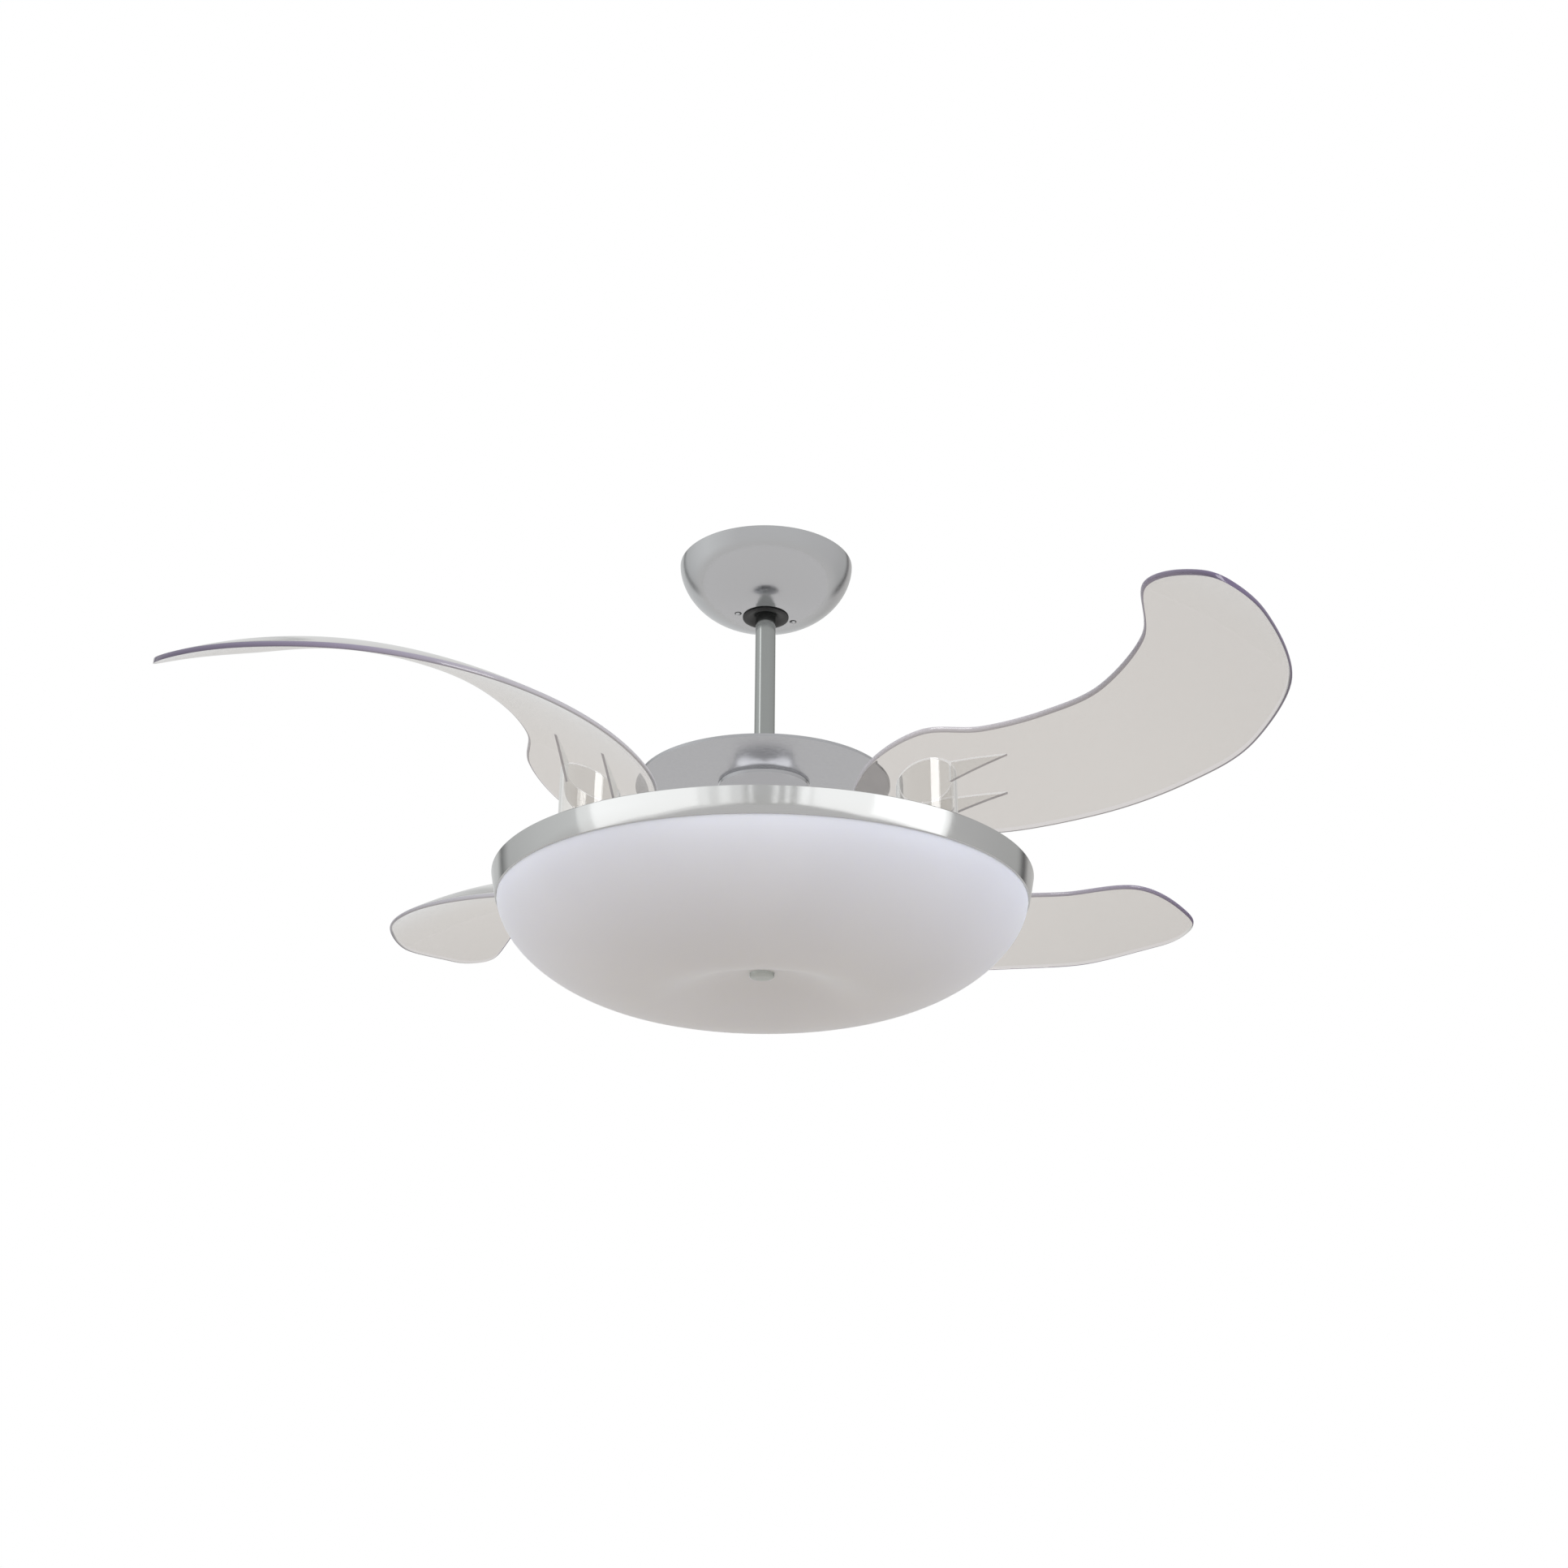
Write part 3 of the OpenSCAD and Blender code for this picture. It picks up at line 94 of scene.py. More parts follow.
def add_node(tree, kind, settings=None, **inputs):
    """Adds one shader node. An input goes by its name, or by its number after an underline. It
    is a value, or another node or socket that is linked to it."""
    made = tree.nodes.new(kind)
    for name, value in (settings or {}).items():
        setattr(made, name, value)
    for name, value in inputs.items():
        key = name.replace("_", " ")
        socket = made.inputs[int(key[1:])] if key[1:].isdigit() else made.inputs[key]
        if isinstance(value, bpy.types.Node):
            tree.links.new(value.outputs[0], socket)
        elif isinstance(value, bpy.types.NodeSocket):
            tree.links.new(value, socket)
        else:
            socket.default_value = value
    return made


def set_stops(ramp_node, stops):
    """Puts (place, hex colour) stops on a colour ramp."""
    ramp = ramp_node.color_ramp
    while len(ramp.elements) > 1:
        ramp.elements.remove(ramp.elements[-1])
    ramp.elements[0].position = stops[0][0]
    ramp.elements[0].color = linear(stops[0][1])
    for place, colour in stops[1:]:
        ramp.elements.new(place).color = linear(colour)


def blank_material(name):
    """A new material, and its node tree with nothing in it yet."""
    material = bpy.data.materials.new(name)
    material.use_nodes = True
    material.node_tree.nodes.clear()
    return material, material.node_tree


def deselect():
    """Leaves nothing selected, so that an operator acts only on what is picked next."""
    for each in bpy.context.selected_objects:
        each.select_set(False)


def finish_object(piece, name):
    """Names a piece, and puts its place into its mesh."""
    piece.name = name
    piece.data.name = name
    piece.data.transform(piece.matrix_world)
    piece.matrix_world = Matrix.Identity(4)
    return piece


floor_r, floor_z, floor_border, floor_bevel, speckle_mm = 6, -2.4, 0.05, 0.01, 20
deselect()
bpy.ops.mesh.primitive_circle_add(vertices=96, radius=floor_r, fill_type="NGON", location=(0, 0, floor_z))
bpy.ops.object.mode_set(mode="EDIT")
bpy.ops.mesh.inset(thickness=floor_border)
bpy.ops.mesh.bevel(offset=floor_bevel, segments=2, affect="EDGES")
bpy.ops.object.mode_set(mode="OBJECT")
floor = finish_object(bpy.context.object, "studio_floor")
# Matt paint, rolled on: pale, with hardly any speckle
paint, tree = blank_material("matt_floor_paint")
where = add_node(tree, "ShaderNodeTexCoord")
speckle = add_node(tree, "ShaderNodeTexNoise", Vector=where.outputs["Object"],
                   Scale=1000 / speckle_mm, Detail=2)
tone = add_node(tree, "ShaderNodeValToRGB", Fac=speckle.outputs["Fac"])
set_stops(tone, [(0.3, "#DCD9D2"), (0.7, "#DEDBD4")])
path = add_node(tree, "ShaderNodeLightPath")
# The room under the fan is dim and warm, so the floor throws less light up than it shows. A mix
# node's colours are its inputs 6 and 7 and its output 2.
cast = add_node(tree, "ShaderNodeMix", {"data_type": "RGBA"}, Factor=path.outputs["Is Diffuse Ray"],
                _6=tone, _7=linear("#B2A99C"))
shown = add_node(tree, "ShaderNodeMix", {"data_type": "RGBA"}, Factor=path.outputs["Is Glossy Ray"],
                 _6=cast.outputs[2], _7=linear("#D9D4CB"))
surface = add_node(tree, "ShaderNodeBsdfPrincipled", Base_Color=shown.outputs[2], Roughness=0.6)
add_node(tree, "ShaderNodeOutputMaterial", Surface=surface)
floor.data.materials.append(paint)

world = bpy.data.worlds.new("studio")
bpy.context.scene.world = world
world.use_nodes = True
tree = world.node_tree
tree.nodes.clear()
where = add_node(tree, "ShaderNodeTexCoord")
axes = add_node(tree, "ShaderNodeSeparateXYZ", Vector=where.outputs["Generated"])
# Height of a direction, from 0 straight down to 1 straight up
height = add_node(tree, "ShaderNodeMapRange", Value=axes.outputs["Z"], From_Min=-1, From_Max=1)
soft_light = add_node(tree, "ShaderNodeValToRGB", Fac=height)
set_stops(soft_light, [(0.0, "#B9B1A6"), (0.42, "#BAB2A9"), (0.5, "#CDD1DE"), (0.57, "#EFF3FF"),
                       (0.7, "#EFF3FF"), (0.85, "#D8DBE2"), (1.0, "#D3D6DD")])
soft_strength = 1.52
room_light = add_node(tree, "ShaderNodeVectorMath", {"operation": "SCALE"},
                      _0=soft_light.outputs["Color"], Scale=soft_strength)
# Bearing of a direction: 0.5 behind the camera, falling to the left and rising to the right. The
# dark uprights stand at 0.122 and 0.878, and the room is palest on the left.
minus_y = add_node(tree, "ShaderNodeMath", {"operation": "MULTIPLY"}, _0=axes.outputs["Y"], _1=-1)
turn = add_node(tree, "ShaderNodeMath", {"operation": "ARCTAN2"}, _0=axes.outputs["X"], _1=minus_y)
bearing = add_node(tree, "ShaderNodeMapRange", Value=turn, From_Min=-math.pi, From_Max=math.pi)
room = add_node(tree, "ShaderNodeValToRGB", Fac=bearing)
set_stops(room, [(0.0, "#DFE0E0"), (0.053, "#DDDEDE"), (0.082, "#DBDCDC"), (0.102, "#E0E1E0"),
                 (0.122, "#868786"), (0.144, "#D3D4D3"), (0.214, "#E8E9E8"), (0.27, "#F2F3F2"),
                 (0.4, "#DFDFDE"), (0.6, "#DFDFDE"), (0.76, "#D8D7D6"), (0.856, "#C8C8C6"),
                 (0.878, "#666464"), (0.9, "#CCCAC8"), (0.95, "#CCCBC9"), (1.0, "#DFE0E0")])
downward = add_node(tree, "ShaderNodeMapRange", Value=axes.outputs["Z"], From_Min=-0.1, From_Max=-0.3)
ground = add_node(tree, "ShaderNodeMix", {"data_type": "RGBA"}, Factor=downward.outputs["Result"],
                  _6=room, _7=linear("#DDDCDA"))
path = add_node(tree, "ShaderNodeLightPath")
mirrored = add_node(tree, "ShaderNodeMix", {"data_type": "RGBA"}, Factor=path.outputs["Is Glossy Ray"],
                    _6=room_light.outputs["Vector"], _7=ground.outputs[2])
seen = add_node(tree, "ShaderNodeMath", {"operation": "MAXIMUM"},
                _0=path.outputs["Is Camera Ray"], _1=path.outputs["Is Transmission Ray"])
backdrop = add_node(tree, "ShaderNodeMix", {"data_type": "RGBA"}, Factor=seen,
                    _6=mirrored.outputs[2], _7=(1, 1, 1, 1))
sky = add_node(tree, "ShaderNodeBackground", Color=backdrop.outputs[2], Strength=1)
add_node(tree, "ShaderNodeOutputWorld", Surface=sky)

# ---------------------------------------------------------------- canopy
# The cover against the ceiling: a deep-drawn steel bowl, polished and chrome plated, 181 mm
# across with a flat bottom. A black rubber ring closes its hole round the rod, and two
# small domed screws hold it up to the bracket.
mm = 0.001
drop = 378          # ceiling to the trim ring's lower edge, the level that heights are counted from
canopy_r, canopy_flat_r, canopy_depth, canopy_hole_r, sheet = 90.5, 30, 58, 17, 1.2
canopy_fullness, canopy_steps = 1.8, 36


def oval_side(wide, narrow, depth, fullness, steps):
    """Half section of a bowl, from its edge in to its flat, as (radius, depth). A fullness of 2
    is an ellipse, and less is leaner."""
    out = []
    for i in range(steps + 1):
        a = math.radians(90 * i / steps)
        out.append((narrow + (wide - narrow) * max(math.cos(a), 0) ** (2 / fullness),
                    depth * math.sin(a) ** (2 / fullness)))
    return out


def turned(name, section, segments=192, smooth=32):
    """Turns a closed half section, (radius, height) in mm, about the upright axis by extruding
    rings. Edges that turn by less than smooth degrees are shaded smooth."""
    deselect()
    r0, z0 = section[0]
    bpy.ops.mesh.primitive_circle_add(vertices=segments, radius=r0 * mm, location=(0, 0, z0 * mm))
    piece = bpy.context.object
    bpy.ops.object.mode_set(mode="EDIT")
    bpy.ops.mesh.select_all(action="SELECT")
    for r, z in section[1:] + [section[0]]:
        bpy.ops.mesh.extrude_edges_move(TRANSFORM_OT_translate={"value": (0, 0, (z - z0) * mm)})
        bpy.ops.transform.resize(value=(r / r0, r / r0, 1), center_override=(0, 0, z * mm))
        r0, z0 = r, z
    bpy.ops.mesh.select_all(action="SELECT")
    bpy.ops.mesh.remove_doubles(threshold=0.00001)
    bpy.ops.mesh.normals_make_consistent(inside=False)
    bpy.ops.object.mode_set(mode="OBJECT")
    bpy.ops.object.shade_smooth_by_angle(angle=math.radians(smooth))
    return finish_object(piece, name)


def copied(piece, name, turn):
    """A copy with its own mesh, turned by degrees about the fan's axis."""
    twin = piece.copy()
    twin.data = piece.data.copy()
    twin.name = name
    bpy.context.scene.collection.objects.link(twin)
    twin.data.transform(Matrix.Rotation(math.radians(turn), 4, "Z"))
    return twin


def chrome_plate(name, colour, roughness, ripple):
    """Bright chrome over polished steel. Chrome gives sharp reflections; the sheet under it
    is slightly uneven, so they waver over a few centimetres, and buffing leaves it patchy."""
    swell_mm, buffing_mm = 45, 4
    material, tree = blank_material(name)
    where = add_node(tree, "ShaderNodeTexCoord")
    swell = add_node(tree, "ShaderNodeTexNoise", Vector=where.outputs["Object"],
                     Scale=1000 / swell_mm, Detail=1)
    buffing = add_node(tree, "ShaderNodeTexNoise", Vector=where.outputs["Object"],
                       Scale=1000 / buffing_mm, Detail=3)
    sheen = add_node(tree, "ShaderNodeMapRange", Value=buffing.outputs["Fac"],
                     From_Min=0.3, From_Max=0.7, To_Min=roughness * 0.8, To_Max=roughness * 1.25)
    waver = add_node(tree, "ShaderNodeBump", Height=swell.outputs["Fac"], Strength=ripple, Distance=mm)
    surface = add_node(tree, "ShaderNodeBsdfPrincipled", Base_Color=linear(colour), Metallic=1,
                       Roughness=sheen.outputs["Result"], Normal=waver)
    add_node(tree, "ShaderNodeOutputMaterial", Surface=surface)
    return material


bright_chrome = chrome_plate("bright_chrome", "#C3C4C6", 0.16, 0.05)
outer = oval_side(canopy_r, canopy_flat_r, -canopy_depth, canopy_fullness, canopy_steps)
inner = oval_side(canopy_r - sheet, canopy_flat_r, -canopy_depth + sheet, canopy_fullness, canopy_steps)
hole = [(canopy_hole_r, -canopy_depth), (canopy_hole_r, -canopy_depth + sheet)]
canopy = turned("canopy_bowl", outer + hole + inner[::-1])
canopy.data.materials.append(bright_chrome)
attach(canopy, "stationary")
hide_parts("canopy")


def moulded_plastic(name, dark, pale, roughness, grain_mm=0.6, bump=0.15):
    """Injection moulded plastic or rubber, or a coat of enamel: an even colour with a fine grain
    from the mould or the spray gun."""
    material, tree = blank_material(name)
    where = add_node(tree, "ShaderNodeTexCoord")
    grain = add_node(tree, "ShaderNodeTexNoise", Vector=where.outputs["Object"],
                     Scale=1000 / grain_mm, Detail=2)
    tone = add_node(tree, "ShaderNodeValToRGB", Fac=grain.outputs["Fac"])
    set_stops(tone, [(0.3, dark), (0.7, pale)])
    waver = add_node(tree, "ShaderNodeBump", Height=grain.outputs["Fac"], Strength=bump, Distance=0.2 * mm)
    surface = add_node(tree, "ShaderNodeBsdfPrincipled", Base_Color=tone, Roughness=roughness, Normal=waver)
    add_node(tree, "ShaderNodeOutputMaterial", Surface=surface)
    return material


# Section of the rubber ring, heights from the canopy's flat: a sleeve in the hole, and a flange
# with a rounded edge, hollowed towards the rod
collar_section = [(10.8, 4), (16.7, 4), (16.7, 0), (23.2, 0), (24, -0.5), (23.8, -1.3), (22, -1.8),
                  (19, -1.7), (16, -0.9), (13, 0.6), (11.6, 1.4), (10.8, 2)]
black_rubber = moulded_plastic("black_rubber", "#0E0E0F", "#19191A", 0.45)
collar = turned("canopy_rubber_ring", [(r, h - canopy_depth) for r, h in collar_section], 96, 50)
collar.data.materials.append(black_rubber)
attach(collar, "stationary")
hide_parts("canopy_collar")


def worked_steel(name, dark, pale, roughness, grain_mm, stretch):
    """Plain or plated steel, with the fine lines that rolling or turning leaves, closer along
    the axes that stretch multiplies."""
    material, tree = blank_material(name)
    where = add_node(tree, "ShaderNodeTexCoord")
    lay = add_node(tree, "ShaderNodeMapping", Vector=where.outputs["Object"], Scale=stretch)
    grain = add_node(tree, "ShaderNodeTexNoise", Vector=lay, Scale=1000 / grain_mm, Detail=3)
    tone = add_node(tree, "ShaderNodeValToRGB", Fac=grain.outputs["Fac"])
    set_stops(tone, [(0.3, dark), (0.7, pale)])
    waver = add_node(tree, "ShaderNodeBump", Height=grain.outputs["Fac"], Strength=0.2, Distance=0.1 * mm)
    surface = add_node(tree, "ShaderNodeBsdfPrincipled", Base_Color=tone, Metallic=1,
                       Roughness=roughness, Normal=waver)
    add_node(tree, "ShaderNodeOutputMaterial", Surface=surface)
    return material


turned_steel = worked_steel("turned_steel", "#B4B6B8", "#D2D3D5", 0.25, 1.5, (1, 1, 6))
screw_r, screw_head_r, screw_l, screw_circle_r, screw_angle = 2, 2.7, 11, 30, 17
washer_r, washer_t, washer_play = 3.6, 0.4, 0.1
slimmer = screw_r / screw_head_r
# A ball cut level with the canopy's flat leaves the domed head, and its cut face is drawn in
# and up for the shank
deselect()
bpy.ops.mesh.primitive_uv_sphere_add(segments=32, ring_count=24, radius=screw_head_r * mm,
                                     location=(screw_circle_r * mm, 0, (-canopy_depth - washer_t) * mm))
bpy.ops.object.mode_set(mode="EDIT")
bpy.ops.mesh.select_all(action="SELECT")
bpy.ops.mesh.bisect(plane_co=(0, 0, -canopy_depth * mm), plane_no=(0, 0, 1), use_fill=True, clear_outer=True)
bpy.ops.mesh.extrude_region_move(TRANSFORM_OT_translate={"value": (0, 0, 0)})
bpy.ops.transform.resize(value=(slimmer, slimmer, 1),
                         center_override=(screw_circle_r * mm, 0, -canopy_depth * mm))
bpy.ops.mesh.extrude_region_move(TRANSFORM_OT_translate={"value": (0, 0, screw_l * mm)})
bpy.ops.object.mode_set(mode="OBJECT")
bpy.ops.object.shade_smooth_by_angle(angle=math.radians(40))
near_screw = finish_object(bpy.context.object, "canopy_screw_near")
near_screw.data.transform(Matrix.Rotation(math.radians(screw_angle), 4, "Z"))
far_screw = copied(near_screw, "canopy_screw_far", 180)
# A thin black washer under each head shows as a black ring round it: painted shade, standing for the dark
# clearance hole in the canopy
near_painted_shade_washer = turned("canopy_screw_painted_shade_washer_near", [
    (screw_r + washer_play, -canopy_depth), (washer_r, -canopy_depth),
    (washer_r, -canopy_depth - washer_t), (screw_r + washer_play, -canopy_depth - washer_t)], 48)
near_painted_shade_washer.data.transform(Matrix.Translation((screw_circle_r * mm, 0, 0)))
near_painted_shade_washer.data.transform(Matrix.Rotation(math.radians(screw_angle), 4, "Z"))
far_painted_shade_washer = copied(near_painted_shade_washer, "canopy_screw_painted_shade_washer_far", 180)
for piece, finish in ((near_screw, turned_steel), (far_screw, turned_steel),
                      (near_painted_shade_washer, black_rubber), (far_painted_shade_washer, black_rubber)):
    piece.data.materials.append(finish)
    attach(piece, "stationary")
    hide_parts("canopy_screws")

# ---------------------------------------------------------------- hanging parts under the canopy
# A bent steel bracket screwed to the ceiling, a plastic ball in its cradle, the box of the
# remote receiver and the mains terminals. The canopy hides them from below.
rolled_steel = worked_steel("zinc_plated_sheet", "#A9ACAE", "#C4C6C7", 0.35, 3, (1, 8, 1))
grey_nylon = moulded_plastic("grey_nylon", "#55565A", "#5E5F63", 0.5)
white_abs = moulded_plastic("white_abs", "#DEDED9", "#E8E8E4", 0.35)


def dress(material, *names):
    """Gives CAD nodes a material."""
    for name in names:
        node[name].data.materials.clear()
        node[name].data.materials.append(material)


dress(rolled_steel, "ceiling_bracket", "stud_bridge", "lamp_brackets")
dress(grey_nylon, "hanger_ball")
dress(white_abs, "receiver_box", "terminal_block", "lamp_terminal", "lamp_holders")
dress(turned_steel, "hanger_pin", "rod_coupling", "coupling_pin", "cover_screws", "motor_shaft", "bearings",
      "shaft_spacer", "shaft_nut", "ring_screws", "shade_stud", "stud_nut", "bulb_caps", "rotor_screws",
      "pivot_posts", "pivot_caps", "blade_screws_1", "blade_screws_2", "blade_screws_3", "blade_screws_4")

# ---------------------------------------------------------------- down rod
# A 21 mm steel tube, chrome plated, drilled across near both ends for its pins. It hangs
# from the ball and carries everything below.
rod_r, rod_bore_r, rod_top, rod_foot = 10.5, 8.5, -13.4, 149.7 - drop
rod_loops = [rod_foot + 60, -120]       # two rings part way up keep the long faces short
# The rod's chrome is darker than the canopy's: painted shade, standing for the dimmer reflection the rod
# shows
rod_painted_shade_chrome = chrome_plate("rod_painted_shade_chrome", "#A6A9A8", 0.12, 0.05)
rod = turned("down_rod_tube", [(rod_r, rod_foot)] + [(rod_r, z) for z in rod_loops] +
             [(rod_r, rod_top), (rod_bore_r, rod_top), (rod_bore_r, rod_foot)], 96)
rod.data.materials.append(rod_painted_shade_chrome)
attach(rod, "stationary")
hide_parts("down_rod")

# ---------------------------------------------------------------- top cover
# A shallow spun steel dome with a rolled lip, chromed. Its underside is closed by a mirror
# bright plate, and a flared neck under the plate holds both to the shaft.
cover_r, cover_bore, lip_low, lip_top, lip_fold = 126, 11.5, 129.5, 132.5, 0.6
cover_rise, dome_power, dome_steps = 40, 1.27, 24
brushed_chrome = chrome_plate("brushed_chrome", "#BCBDC0", 0.2, 0.05)
dome = []
for i in range(dome_steps + 1):
    r = cover_r - (cover_r - cover_bore) * i / dome_steps
    dome.append((r, lip_top + cover_rise * (1 - (r / cover_r) ** dome_power)))
section = [(cover_r, lip_low)] + dome + [(r, h - sheet) for r, h in dome[:0:-1]]
section += [(cover_r - sheet, lip_top - lip_fold), (cover_r - sheet, lip_low)]
cover = turned("top_cover_dome", [(r, h - drop) for r, h in section])

plate_low, plate_t, plate_r, plate_edge, shaft_r = 130.3, 1.2, 124.5, 0.5, 10.05
plate_loops = [60, 110]
section = [(shaft_r, 0)] + [(r, 0) for r in plate_loops] + [
    (plate_r - plate_edge, 0), (plate_r, plate_edge), (plate_r, plate_t), (shaft_r, plate_t)]
plate = turned("cover_mirror_plate", [(r, plate_low + h - drop) for r, h in section])

neck_l, neck_r, neck_edge, neck_lip, waist_r, flare_l, flare_steps = 32, 46, 0.5, 0.6, 30, 28, 16
neck_low = plate_low - neck_l
flare = [(waist_r + (neck_r - waist_r) * (i / flare_steps) ** 2, neck_low + flare_l * i / flare_steps)
         for i in range(flare_steps + 1)]
section = [(shaft_r, neck_low)] + flare + [
    (neck_r, plate_low - neck_lip), (neck_r - neck_edge, plate_low), (shaft_r, plate_low)]
neck = turned("cover_neck_flare", [(r, h - drop) for r, h in section], 128)
for piece, stands_for in ((cover, "top_cover"), (plate, "cover_plate"), (neck, "cover_neck")):
    piece.data.materials.append(brushed_chrome)
    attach(piece, "stationary")
    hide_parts(stands_for)

# ---------------------------------------------------------------- motor
# A brushless motor with its magnets in a turning cast shell, and wound coils on a stack of
# laminations round the fixed hollow shaft. All of it sits inside, under the cover.


def cast_metal(name, dark, pale, roughness):
    """Die cast aluminium or sintered magnet: dull, with the soft mottle that the die leaves."""
    mottle_mm = 4
    material, tree = blank_material(name)
    where = add_node(tree, "ShaderNodeTexCoord")
    mottle = add_node(tree, "ShaderNodeTexNoise", Vector=where.outputs["Object"],
                      Scale=1000 / mottle_mm, Detail=3)
    tone = add_node(tree, "ShaderNodeValToRGB", Fac=mottle.outputs["Fac"])
    set_stops(tone, [(0.3, dark), (0.7, pale)])
    waver = add_node(tree, "ShaderNodeBump", Height=mottle.outputs["Fac"], Strength=0.1, Distance=0.2 * mm)
    surface = add_node(tree, "ShaderNodeBsdfPrincipled", Base_Color=tone, Metallic=0.5,
                       Roughness=roughness, Normal=waver)
    add_node(tree, "ShaderNodeOutputMaterial", Surface=surface)
    return material


def banded(name, dark, pale, metallic, roughness):
    """Stacked sheets or wound wire: bands one above another. Real sheets and wires are about
    0.5 mm thick, too fine to show, so the bands are drawn 6.3 mm apart."""
    band_mm = 6.283
    wave_mm = 314       # what the wave node repeats over at a scale of 1
    material, tree = blank_material(name)
    where = add_node(tree, "ShaderNodeTexCoord")
    bands = add_node(tree, "ShaderNodeTexWave", {"bands_direction": "Z"},
                     Vector=where.outputs["Object"], Scale=wave_mm / band_mm, Distortion=0.2)
    tone = add_node(tree, "ShaderNodeValToRGB", Fac=bands.outputs["Fac"])
    set_stops(tone, [(0.2, dark), (0.8, pale)])
    waver = add_node(tree, "ShaderNodeBump", Height=bands.outputs["Fac"], Strength=0.5, Distance=0.3 * mm)
    surface = add_node(tree, "ShaderNodeBsdfPrincipled", Base_Color=tone, Metallic=metallic,
                       Roughness=roughness, Normal=waver)
    add_node(tree, "ShaderNodeOutputMaterial", Surface=surface)
    return material


cast_aluminium = cast_metal("cast_aluminium", "#C4C5C6", "#CDCECF", 0.42)
dress(cast_aluminium, "rotor_upper_shell", "rotor_lower_shell", "carrier_hub")
dress(cast_metal("sintered_magnet", "#2E2E31", "#3A3A3D", 0.5), "rotor_magnets")
dress(banded("core_laminations", "#5A5B60", "#85868A", 0.9, 0.4), "stator_core")
dress(banded("enamelled_copper_wire", "#7A3A1C", "#B8683A", 0.7, 0.3), "stator_windings")

# ---------------------------------------------------------------- wiring
# One sheathed loom from the ceiling terminals down through the rod and the hollow shaft to
# the lamp terminals, and three leads from there to the lamp holders.


def wire(name, points, diameter, material):
    """A round wire along points in mm, made as a bevelled curve and turned to a mesh."""
    curve = bpy.data.curves.new(name, "CURVE")
    curve.dimensions = "3D"
    curve.bevel_depth = diameter / 2 * mm
    curve.bevel_resolution = 4
    curve.use_fill_caps = True
    spline = curve.splines.new("POLY")
    spline.points.add(len(points) - 1)
    for spot, p in zip(spline.points, points):
        spot.co = (p[0] * mm, p[1] * mm, p[2] * mm, 1)
    piece = bpy.data.objects.new(name, curve)
    bpy.context.scene.collection.objects.link(piece)
    deselect()
    piece.select_set(True)
    bpy.context.view_layer.objects.active = piece
    bpy.ops.object.convert(target="MESH")
    piece = bpy.context.object
    bpy.ops.object.shade_smooth_by_angle(angle=math.radians(40))
    piece.data.materials.clear()
    piece.data.materials.append(material)
    return finish_object(piece, name)


def rounded(points, rounds):
    """Cuts the corners of a route until it is a smooth curve with the same ends."""
    for _ in range(rounds):
        cut = [points[0]]
        for a, b in zip(points, points[1:]):
            cut.append([a[i] * 0.75 + b[i] * 0.25 for i in range(3)])
            cut.append([a[i] * 0.25 + b[i] * 0.75 for i in range(3)])
        points = cut + [points[-1]]
    return points


wire_sheath = moulded_plastic("wire_sheath", "#3A3A3C", "#434346", 0.5)
loom_d, lead_d = 3.4, 2.4
ball_top, loom_y, shaft_end = -9.0, -4.6, -7 - drop
loom_route = [(0, -25.7, ball_top - 1), (0, -21, ball_top - 1), (0, -16, ball_top + 1.5),
              (0, -12, ball_top + 2.9), (0, -8, ball_top + 2.5), (0, loom_y - 0.8, ball_top - 0.5),
              (0, loom_y, ball_top - 5), (0, loom_y, ball_top - 12), (0, loom_y, shaft_end + 6),
              (0, loom_y, shaft_end - 2), (0, loom_y - 2, shaft_end - 5), (0, loom_y - 6, shaft_end - 7),
              (0, loom_y - 12, shaft_end - 7), (0, loom_y - 18, shaft_end - 3), (0, -27, shaft_end + 3),
              (0, -31.7, shaft_end + 3)]
lead_z, holder_top = 1 - drop, -7 - drop
side_route = [(18.3, -42, lead_z), (24, -42, lead_z), (40, -43, lead_z), (48, -45.5, lead_z),
              (55, -48.5, lead_z - 0.5), (60, -45, lead_z - 2), (61, -41, lead_z - 4.5),
              (61, -40, holder_top + 0.3)]
back_route = [(18.3, -36, lead_z), (22, -36, lead_z), (27, -30, lead_z), (29, -18, lead_z), (29, 0, lead_z),
              (29, 18, lead_z), (24, 42, lead_z), (17, 58, lead_z), (14, 68, lead_z), (10, 73, lead_z - 1),
              (5, 74, lead_z - 4), (4, 74, holder_top + 0.3)]
routes = (("loom", loom_route, loom_d), ("right_lamp_lead", side_route, lead_d),
          ("left_lamp_lead", [(-x, y, z) for x, y, z in side_route], lead_d),
          ("back_lamp_lead", back_route, lead_d))
for name, route, thick in routes:
    run = wire(name, rounded(route, 2), thick, wire_sheath)
    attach(run, "stationary")
    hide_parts("wiring")

# ---------------------------------------------------------------- blade carrier and gearing
# A white enamelled aluminium disc turns with the motor. A toothed acetal ring lies on eight
# flanged guides and meshes with a gear under each blade, so all four move together; a
# torsion spring round each gear's sleeve draws its blade in when the fan stops.
white_enamel = moulded_plastic("white_enamel", "#DDDEDE", "#E1E2E2", 0.3, 8, 0.05)
acetal = moulded_plastic("natural_acetal", "#D8D4C6", "#E2DFD3", 0.35)
dress(white_enamel, "blade_carrier", "lamp_pan")
dress(acetal, "sync_ring", "ring_guides", "blade_gear_1", "blade_gear_2", "blade_gear_3", "blade_gear_4")
dress(black_rubber, "stop_bumpers", "shade_washer")

pivot_r, first_blade, blade_apart, blade_count = 218, -47, 90, 4
spring_r, spring_wire, spring_pitch, spring_turns, spring_low = 15.5, 1.5, 2.0, 2.75, 16.05
turn_steps = 24
spring_top = spring_pitch * spring_turns
